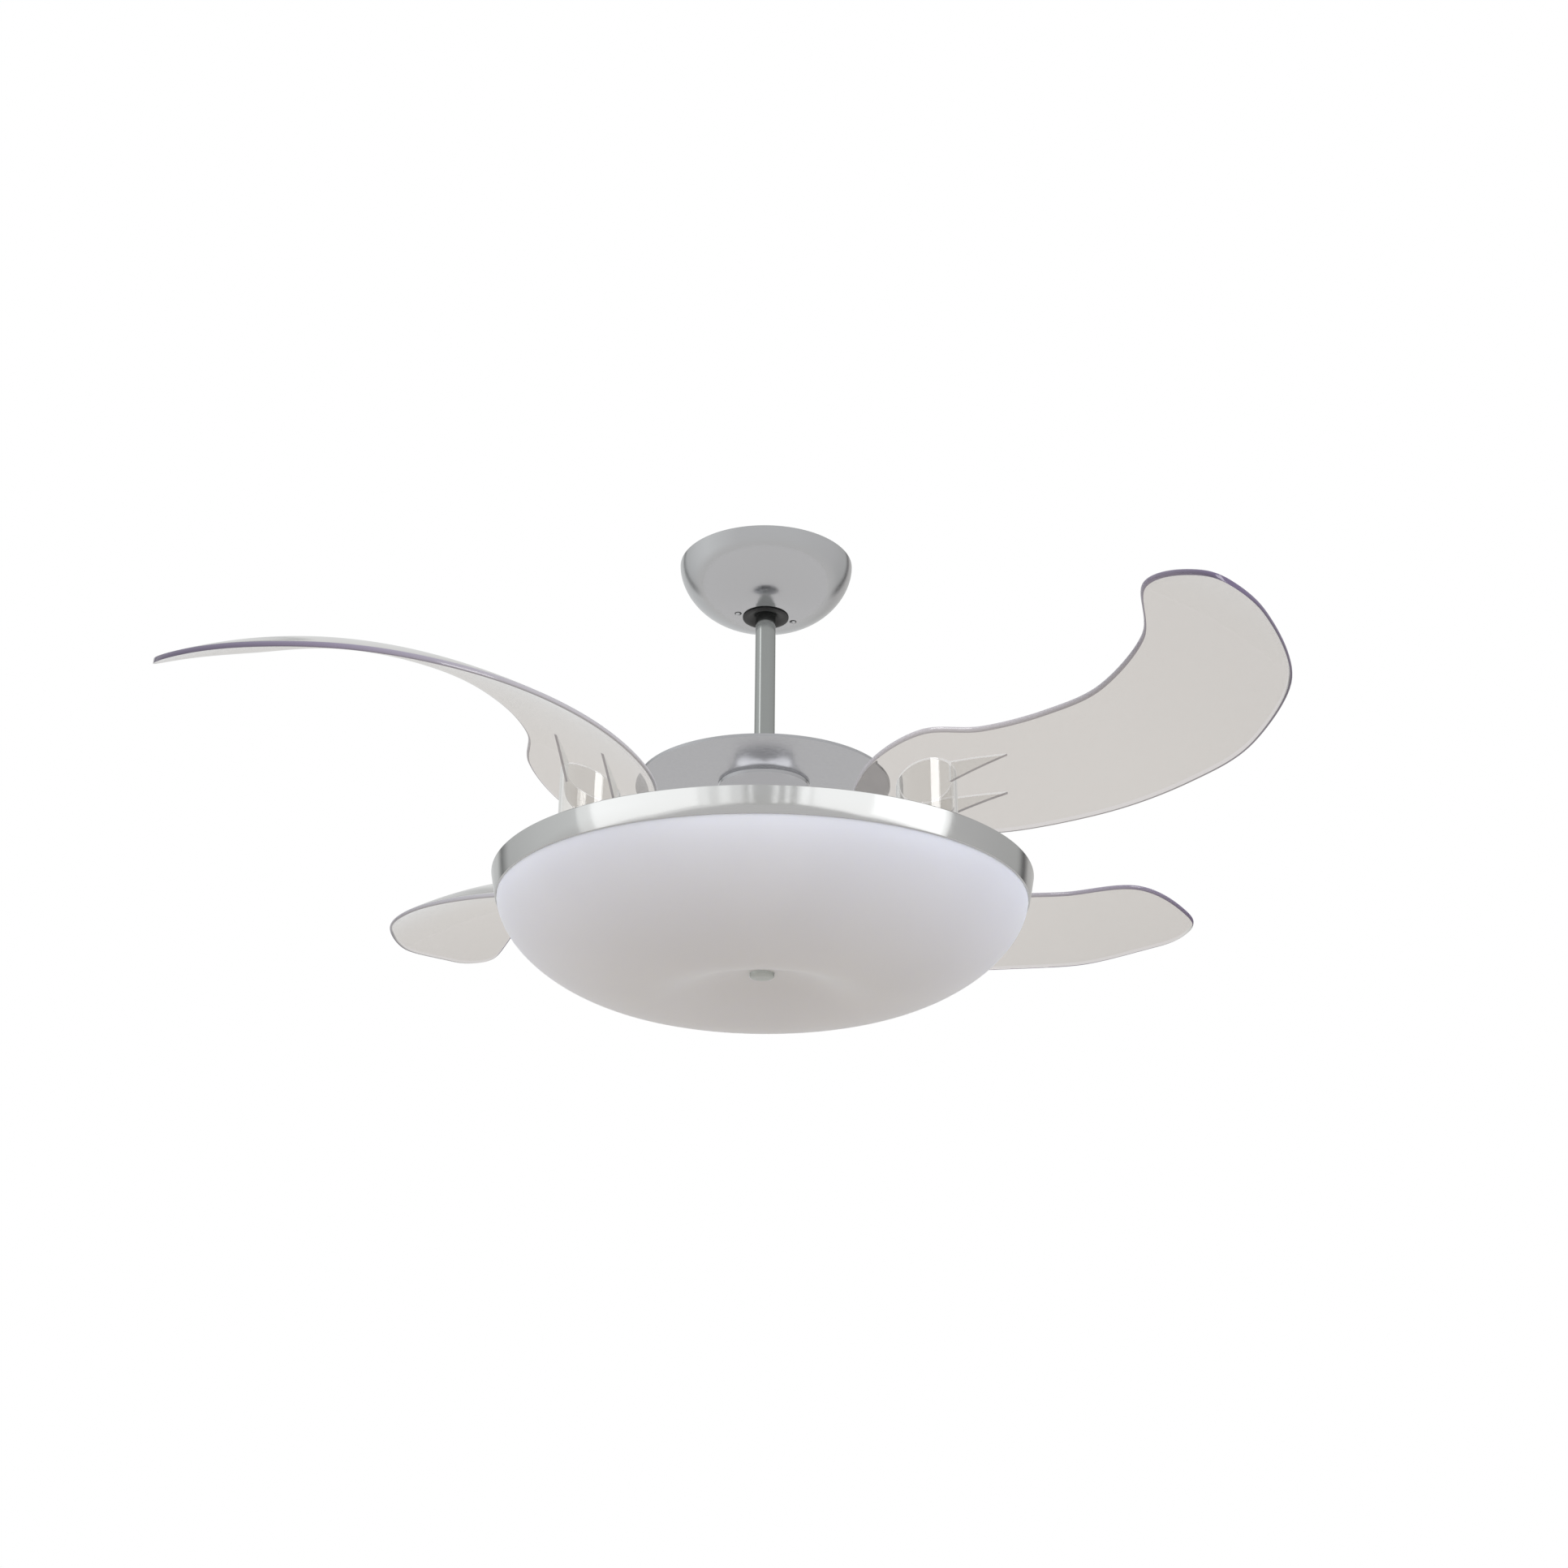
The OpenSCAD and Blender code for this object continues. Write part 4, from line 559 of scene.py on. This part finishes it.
# The wire comes in straight, winds upwards and leaves straight
coil = [(spring_r, -12, 0), (spring_r, -6, 0)]
for i in range(int(spring_turns * turn_steps) + 1):
    a = 2 * math.pi * i / turn_steps
    coil.append((spring_r * math.cos(a), spring_r * math.sin(a), spring_pitch * i / turn_steps))
coil += [(6, -spring_r, spring_top), (12, -spring_r, spring_top)]
spring_steel = worked_steel("spring_steel", "#8C8E92", "#A6A8AB", 0.3, 2, (1, 1, 1))
for k in range(blade_count):
    place = Matrix.Rotation(math.radians(first_blade + blade_apart * k), 4, "Z")
    route = [place @ Vector((x + pivot_r, y, z + spring_low - drop)) for x, y, z in coil]
    spring = wire("return_spring_%d" % (k + 1), route, spring_wire, spring_steel)
    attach(spring, "rotor")
    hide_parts("return_springs")

# ---------------------------------------------------------------- blades
# Each blade is one injection moulding in clear, faintly smoke tinted acrylic: a cambered
# sheet 5 mm thick with a rounded edge, a hollow tube under its root that turns on the
# pivot, and two thin triangular ribs between tube and sheet.

# The outline's control points, in mm from the pivot; x points outwards when the blade is open
edge_points = [(-47, -48), (-8, -63), (37, -48), (71, -5), (123, 21), (182, 25),
               (253, -12), (304, -80), (364, -101), (386, -91), (388, -42), (351, 50),
               (269, 121), (188, 145), (101, 140), (14, 103), (-45, 43), (-67, -9)]
tip_index = 9       # the control point at the blade's tip
blade_t = 5.0


def edge_at(s):
    """Point on the blade's smooth outline; s counts its control points."""
    n = len(edge_points)
    i = math.floor(s)
    t = s - i
    a, b, c, d = (edge_points[(i + k) % n] for k in (-1, 0, 1, 2))
    return tuple(0.5 * (2 * b[m] + (c[m] - a[m]) * t + (2 * a[m] - 5 * b[m] + 4 * c[m] - d[m]) * t * t
                        + (3 * b[m] - a[m] - 3 * c[m] + d[m]) * t ** 3) for m in (0, 1))


def sheet_height(x, y):
    """Height of the middle of the blade's sheet, in mm above the trim ring's lower edge. It
    arches from root to tip, and falls from the hollow edge to the bulging one."""
    u, v = (x - 160) / 200, y / 100
    return 121.4 + 27.3 * u - 25.7 * v - 48.9 * u * u - 8.7 * u * v - 12.4 * v * v - 11.5 * u ** 3


def section_ring(a, b, rim_steps, chord_steps):
    """One closed ring round the sheet, over the top from edge point a to b and back beneath."""
    half = blade_t / 2
    length = math.hypot(b[0] - a[0], b[1] - a[1])
    run = ((b[0] - a[0]) / length, (b[1] - a[1]) / length)
    nose = min(half, length * 0.45)
    ring = []

    def put(along, rise):
        x, y = a[0] + run[0] * along, a[1] + run[1] * along
        ring.append((x, y, sheet_height(x, y) + rise))

    for i in range(rim_steps + 1):
        t = math.pi * (i / rim_steps - 0.5)
        put(nose * (1 - math.cos(t)), half * math.sin(t))
    for j in range(1, chord_steps):
        put(nose + (length - 2 * nose) * j / chord_steps, half)
    for i in range(rim_steps + 1):
        t = math.pi * (0.5 - i / rim_steps)
        put(length - nose * (1 - math.cos(t)), half * math.sin(t))
    for j in range(chord_steps - 1, 0, -1):
        put(nose + (length - 2 * nose) * j / chord_steps, -half)
    return ring


# The mask along which painted shade deepens towards the blade tips, on the faces and on the rim
def toward_tip(tree, where):
    """Runs from 0 at 250 mm from the fan's axis to 1 at the blade tips, 610 mm out."""
    level = add_node(tree, "ShaderNodeMapping", Vector=where.outputs["Object"], Scale=(1, 1, 0))
    reach = add_node(tree, "ShaderNodeVectorMath", {"operation": "LENGTH"}, _0=level)
    return add_node(tree, "ShaderNodeMapRange", Value=reach.outputs["Value"],
                    From_Min=250 * mm, From_Max=610 * mm)


acrylic_ior = 1.49


def moulded_acrylic(name, tint, tip_tint_and_shade):
    """Injection moulded acrylic: clear and glossy, with a faint tint, painted shade that darkens it towards
    the tip, and slightly wavy faces."""
    flow_mm = 50
    material, tree = blank_material(name)
    where = add_node(tree, "ShaderNodeTexCoord")
    flow = add_node(tree, "ShaderNodeTexNoise", Vector=where.outputs["Object"],
                    Scale=1000 / flow_mm, Detail=1)
    waver = add_node(tree, "ShaderNodeBump", Height=flow.outputs["Fac"], Strength=0.03, Distance=mm)
    tone = add_node(tree, "ShaderNodeValToRGB", Fac=toward_tip(tree, where))
    set_stops(tone, [(0.0, tint), (0.35, tint), (1.0, tip_tint_and_shade)])
    surface = add_node(tree, "ShaderNodeBsdfPrincipled", Base_Color=tone, Roughness=0.0, IOR=acrylic_ior,
                       Transmission_Weight=1, Normal=waver)
    add_node(tree, "ShaderNodeOutputMaterial", Surface=surface)
    return material


# The sheet's faces have a smoke tint, darkened towards the tip by painted shade; the tube and ribs are clear
smoke_acrylic = moulded_acrylic("smoke_tinted_acrylic", "#D1CDC9", "#CBC7C3")
clear_acrylic = moulded_acrylic("clear_acrylic", "#EFEEEC", "#EFEEEC")
# The rounded rim carries painted shade seen from outside. It stands for the light the rim gathers from along
# the sheet: grey near the root, darkening to violet towards the tip. From inside the sheet it is as clear as
# the faces.
rim_painted_shade_acrylic, tree = blank_material("acrylic_rim_painted_shade")
where = add_node(tree, "ShaderNodeTexCoord")
tone = add_node(tree, "ShaderNodeValToRGB", Fac=toward_tip(tree, where))
set_stops(tone, [(0.0, "#B4B0B2"), (0.5, "#A29EA2"), (0.8, "#7D7487"), (1.0, "#574C66")])
painted_shade_side = add_node(tree, "ShaderNodeBsdfPrincipled", Base_Color=tone, Roughness=0.08,
                      IOR=acrylic_ior, Transmission_Weight=0.25)
inner_side = add_node(tree, "ShaderNodeBsdfPrincipled", Base_Color=linear("#DAD7D9"), Roughness=0.03,
                      IOR=acrylic_ior, Transmission_Weight=1)
which_side = add_node(tree, "ShaderNodeNewGeometry")
both = add_node(tree, "ShaderNodeMixShader", _0=which_side.outputs["Backfacing"],
                _1=painted_shade_side, _2=inner_side)
add_node(tree, "ShaderNodeOutputMaterial", Surface=both)
acrylics = (smoke_acrylic, rim_painted_shade_acrylic, clear_acrylic)
on_faces, on_painted_shade, on_root = 0, 1, 2     # their numbers on the sheet, its rim with painted shade, and the tube and ribs

# A plain grid is laid out flat, then each of its rows is wrapped into a section of the sheet.
# Each section runs from one long edge to the other, and the sections stand closer near the root
# and the tip.
stations, rim_steps, chord_steps, end_trim, crowding = 128, 8, 14, 0.03, 0.65
rings = []
for k in range(stations + 1):
    ease = 0.5 - 0.5 * math.cos(math.pi * k / stations)
    ease = crowding * ease + (1 - crowding) * k / stations
    s = end_trim + (tip_index - 2 * end_trim) * ease
    rings.append(section_ring(edge_at(s), edge_at(2 * tip_index - s), rim_steps, chord_steps))
around = len(rings[0])
deselect()
bpy.ops.mesh.primitive_grid_add(x_subdivisions=around, y_subdivisions=stations, size=1)
blade = bpy.context.object
for material in acrylics:
    blade.data.materials.append(material)
for face in blade.data.polygons:
    column = int((face.center.x + 0.5) * around)
    # Rim faces take the painted shade; the rest of the sheet stays clear
    face.material_index = on_painted_shade if column % (rim_steps + chord_steps) < rim_steps else on_faces
for spot in blade.data.vertices:
    column = round((spot.co.x + 0.5) * around)
    row = round((spot.co.y + 0.5) * stations)
    x, y, h = rings[row][column % around]
    spot.co = ((x + pivot_r) * mm, y * mm, (h - drop) * mm)
bpy.ops.object.mode_set(mode="EDIT")
bpy.ops.mesh.select_all(action="SELECT")
bpy.ops.mesh.remove_doubles(threshold=0.000002)
bpy.ops.mesh.select_all(action="DESELECT")
bpy.ops.mesh.select_mode(type="EDGE")
bpy.ops.mesh.select_non_manifold()
bpy.ops.mesh.fill_holes(sides=0)
bpy.ops.mesh.select_all(action="SELECT")
bpy.ops.mesh.normals_make_consistent(inside=False)
bpy.ops.object.mode_set(mode="OBJECT")
finish_object(blade, "clear_blade_1")

tube_r, tube_bore_r, tube_foot, tube_loop, tube_top, tube_edge = 28, 25, 32, 50, 80, 0.6
base_t, hub_hole_r = 3, 13
tube = turned("tube", [(tube_r, tube_foot + tube_edge), (tube_r, tube_loop), (tube_r, tube_top),
                       (tube_bore_r, tube_top), (tube_bore_r, tube_loop),
                       (tube_bore_r, tube_foot + base_t), (hub_hole_r, tube_foot + base_t),
                       (hub_hole_r, tube_foot), (tube_r - tube_edge, tube_foot)], 128)
for face in tube.data.polygons:
    face.material_index = on_root
for spot in tube.data.vertices:     # its upper edge follows the middle of the sheet
    h = spot.co.z / mm
    if h > tube_top - 1:
        h = sheet_height(spot.co.x / mm, spot.co.y / mm)
    spot.co.z = (h - drop) * mm
    spot.co.x += pivot_r * mm

# A rib is deep where it leaves the tube's wall and runs out just under the sheet
rib_t, rib_depth, rib_end_depth, rib_reach, rib_cuts = 2.5, 22, blade_t / 2 + 0.2, 74, 7
rib_offsets, rib_bite, rib_turn = (-17, 26), 1, math.radians(40)
foot_face = -0.49       # faces under this height on the unit cube are the rib's lower edge, which gets the rim's painted shade
parts = [tube]
for offset in rib_offsets:
    start = math.sqrt(tube_r ** 2 - offset ** 2) - rib_bite
    deselect()
    bpy.ops.mesh.primitive_cube_add(size=1)
    rib = bpy.context.object
    bpy.ops.object.mode_set(mode="EDIT")
    bpy.ops.mesh.select_all(action="SELECT")
    bpy.ops.mesh.subdivide(number_cuts=rib_cuts)
    bpy.ops.object.mode_set(mode="OBJECT")
    # The rib's lower edge shows as a thin dark line of painted shade; its sides stay clear
    for face in rib.data.polygons:
        face.material_index = on_painted_shade if face.center.z < foot_face else on_root
    for spot in rib.data.vertices:
        t, side, rise = spot.co.x + 0.5, spot.co.y, spot.co.z + 0.5
        along, across = start + (rib_reach - start) * t, offset + side * rib_t
        x = along * math.cos(rib_turn) - across * math.sin(rib_turn)
        y = along * math.sin(rib_turn) + across * math.cos(rib_turn)
        deep = rib_depth + (rib_end_depth - rib_depth) * t
        h = sheet_height(x, y) - deep * (1 - rise)
        spot.co = ((x + pivot_r) * mm, y * mm, (h - drop) * mm)
    parts.append(rib)
for part in parts:
    for material in acrylics:
        part.data.materials.append(material)
    joined = blade.modifiers.new("join", "BOOLEAN")
    joined.operation = "UNION"
    joined.solver = "EXACT"
    joined.object = part
    deselect()
    blade.select_set(True)
    bpy.context.view_layer.objects.active = blade
    bpy.ops.object.modifier_apply(modifier="join")
    bpy.data.objects.remove(part)
bpy.ops.object.shade_smooth_by_angle(angle=math.radians(28))

blades = [blade] + [copied(blade, "clear_blade_%d" % (k + 1), first_blade + blade_apart * k)
                    for k in range(1, blade_count)]
blade.data.transform(Matrix.Rotation(math.radians(first_blade), 4, "Z"))
for k, each in enumerate(blades):
    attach(each, "blade_unit_%d" % (k + 1))
    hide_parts("blade_%d" % (k + 1))

# ---------------------------------------------------------------- trim ring
# A rolled and chromed steel band, 24 mm high and 530 mm across, slightly narrower at its
# lower edge. It sits on the lamp pan by an inner flange and hides the gearing.
ring_r, ring_low_r, ring_t, ring_wall, flange_w, pan_top = 265, 260.5, 24, 1.5, 12, 6.5


def ring_inside(h):
    """Radius inside the band's wall at a height in mm."""
    return ring_low_r - ring_wall + (ring_r - ring_low_r) * h / ring_t


flange_r = ring_inside(pan_top) - flange_w
# Both edges are rounded by about half a millimetre
section = [(ring_low_r - ring_wall, 0.3), (ring_low_r - 1.0, 0), (ring_low_r - 0.3, 0.1), (ring_low_r, 0.5),
           (ring_r - 0.1, ring_t - 0.6), (ring_r - 0.5, ring_t), (ring_r - ring_wall, ring_t - 0.2),
           (ring_inside(pan_top + ring_wall), pan_top + ring_wall), (flange_r, pan_top + ring_wall),
           (flange_r, pan_top), (ring_inside(pan_top), pan_top)]
ring = turned("chrome_trim_ring", [(r, h - drop) for r, h in section], 256)
ring.data.materials.append(chrome_plate("rolled_chrome", "#C3C4C4", 0.1, 0.3))
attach(ring, "stationary")
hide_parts("trim_ring")

# ---------------------------------------------------------------- shade
# A 517 mm bowl of blow moulded opal acrylic, 3 mm thick, with a shallow dimple underneath.
# A small steel cap nut in the dimple holds it up.
shade_r, shade_top, shade_depth, shade_wall, shade_fullness, shade_steps = 258.4, 4.7, 92, 3, 1.72, 48
crest_r, dimple_r, dimple_rise, dimple_steps, stud_hole_r, cloud_mm = 115, 14, 26, 24, 6, 120


def bowl_section(wide, low):
    """Half section of one face of the bowl: down its side to the crest, then up the dimple."""
    dimple = []
    for i in range(1, dimple_steps + 1):
        rise = dimple_rise * (1 - math.cos(math.pi * i / dimple_steps)) / 2
        dimple.append((crest_r + (dimple_r - crest_r) * i / dimple_steps, low + rise))
    return [(wide, shade_top)] + oval_side(wide, crest_r, low, shade_fullness, shade_steps) + dimple


outer = bowl_section(shade_r, -shade_depth)
inner = bowl_section(shade_r - shade_wall, -shade_depth + shade_wall)
floor_h = -shade_depth + dimple_rise
hole = [(stud_hole_r, floor_h), (stud_hole_r, floor_h + shade_wall)]
shade = turned("opal_shade", [(r, h - drop) for r, h in outer + hole + inner[::-1]], 256)
# Opal acrylic scatters light within its wall, which gives an even, milky white with a soft gloss
# and hardly visible clouds from the melt
opal, tree = blank_material("opal_acrylic")
where = add_node(tree, "ShaderNodeTexCoord")
cloud = add_node(tree, "ShaderNodeTexNoise", Vector=where.outputs["Object"], Scale=1000 / cloud_mm, Detail=1)
tone = add_node(tree, "ShaderNodeValToRGB", Fac=cloud.outputs["Fac"])
set_stops(tone, [(0.3, "#EEEFF3"), (0.7, "#F3F4F8")])
surface = add_node(tree, "ShaderNodeBsdfPrincipled", Base_Color=tone, Roughness=0.38, IOR=acrylic_ior,
                   Subsurface_Weight=0.3, Subsurface_Radius=(4 * mm, 4 * mm, 5 * mm), Subsurface_Scale=1)
add_node(tree, "ShaderNodeOutputMaterial", Surface=surface)
shade.data.materials.append(opal)
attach(shade, "stationary")
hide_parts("shade")

nut_r, nut_t, nut_wall_l, nut_thread_r, nut_thread_l, nut_tip_r = 12, 5, 2.5, 5.05, 3.4, 0.1
section = [(nut_thread_r, 0), (nut_r, 0), (nut_r, -nut_wall_l), (nut_r * 0.97, -3.4), (nut_r * 0.9, -4.1),
           (nut_r * 0.75, -4.7), (nut_r * 0.5, -4.95), (nut_tip_r, -nut_t),
           (nut_tip_r, -nut_thread_l), (nut_thread_r, -nut_thread_l)]
finial = turned("cap_nut", [(r, floor_h + h - drop) for r, h in section], 96, 40)
satin_nickel = worked_steel("satin_nickel", "#A9ABA6", "#B7B9B4", 0.3, 1.5, (1, 1, 6))
finial.data.materials.append(satin_nickel)
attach(finial, "stationary")
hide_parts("finial")

# ---------------------------------------------------------------- lamps
# Three opal bulbs lie flat in the bowl, in white holders on steel brackets under the pan.
# Their glass is blown and coated white inside, so it shows smooth and even.
opal_glass = moulded_plastic("opal_bulb_glass", "#EFEEE9", "#F4F3EF", 0.25, 20, 0.02)
dress(opal_glass, "bulbs")

# ---------------------------------------------------------------- soft panels
# Large white panels stand round the front of the fan at its own height. The trim ring shows
# them as near-white bands with a grey gap between, and narrow ones in front as fine uprights.
# Two bluish ones fill the shade, strips glint on blades and rod, and a low one lights the neck.


def soft_lamp(name, width, height, radiance, place, shown_by, colour="#FFFFFF"):
    """A rectangular lamp of even radiance that lights only the pieces given."""
    light = bpy.data.lights.new(name, "AREA")
    light.color = linear(colour)[:3]
    light.shape = "RECTANGLE"
    light.size, light.size_y = width, height
    light.energy = radiance * math.pi * width * height
    holder = bpy.data.objects.new(name, light)
    bpy.context.scene.collection.objects.link(holder)
    holder.matrix_world = place
    group = bpy.data.collections.new(name)
    for piece in shown_by:
        group.objects.link(piece)
    holder.light_linking.receiver_collection = group


def panel(name, start, end, low, high, radiance, shown_by, colour="#FFFFFF"):
    """An upright soft lamp between two places on the ground plan, from low to high in metres."""
    width = math.hypot(end[0] - start[0], end[1] - start[1])
    along = Vector(((end[0] - start[0]) / width, (end[1] - start[1]) / width, 0))
    facing = along.cross(Vector((0, 0, 1)))
    place = Matrix((
        (along.x, 0, facing.x, (start[0] + end[0]) / 2),
        (along.y, 0, facing.y, (start[1] + end[1]) / 2),
        (0, 1, 0, (low + high) / 2),
        (0, 0, 0, 1)))
    soft_lamp(name, width, high - low, radiance, place, shown_by, colour)


mirror_ratio = 2.17     # a bearing over that of the spot of the ring that mirrors it


def panel_edge(bearing, distance=1.3):
    """Where a panel's edge stands: distance metres out, at a bearing in degrees, from the spot of
    the ring that mirrors that bearing to the camera."""
    a, b = math.radians(bearing), math.radians(bearing) / mirror_ratio
    return (ring_r * mm * math.sin(b) + distance * math.sin(a),
            -ring_r * mm * math.cos(b) - distance * math.cos(a))


ring_panels = (("left_wide_panel", -80, -8, 0.4), ("left_panel", -73, -26, 0.45),
               ("right_wide_panel", 13, 81, 0.55), ("right_mid_panel", 20, 80, 0.3),
               ("right_panel", 44, 78, 0.35),
               ("narrow_panel_1", -25.5, -21.5, 0.25), ("narrow_panel_2", -17.5, -13, 0.25),
               ("narrow_panel_3", -6, -4.6, 0.6), ("narrow_panel_4", 3.4, 5.4, 0.6),
               ("narrow_panel_5", 8.2, 10.4, 0.6), ("narrow_panel_6", 14.5, 18.5, 0.3))
panels_low, panels_high = -0.78, -0.06
for name, first, last, radiance in ring_panels:
    panel(name, panel_edge(first), panel_edge(last), panels_low, panels_high, radiance, [ring])
panel("left_fill", (-1.7, -0.2), (-1.3, -1.2), -0.9, 0.3, 0.4, [shade], "#A8C4FF")
panel("right_fill", (1.3, -1.2), (1.7, -0.2), -0.9, 0.3, 0.9, [shade], "#B4CCFF")
panel("blade_strip", (0.45, -1.75), (1.2, -1.35), -0.2, 0.8, 6, blades)
panel("rod_strip", (-1.38, -0.6), (-1.2, -0.95), -0.4, 1.3, 1.0, [rod])
facing_up = Matrix.Translation((0, 0.45, -1.2)) @ Matrix.Rotation(math.pi, 4, "X")
soft_lamp("low_panel", 1.4, 0.7, 1.5, facing_up, [neck])

# Mirror rays meet only these few pieces, so that the polished parts show neither the blades nor
# the works under the cover
for piece in bpy.data.objects:
    if piece.type == "MESH" and piece not in [floor, rod, collar, canopy, neck, finial]:
        piece.visible_glossy = False
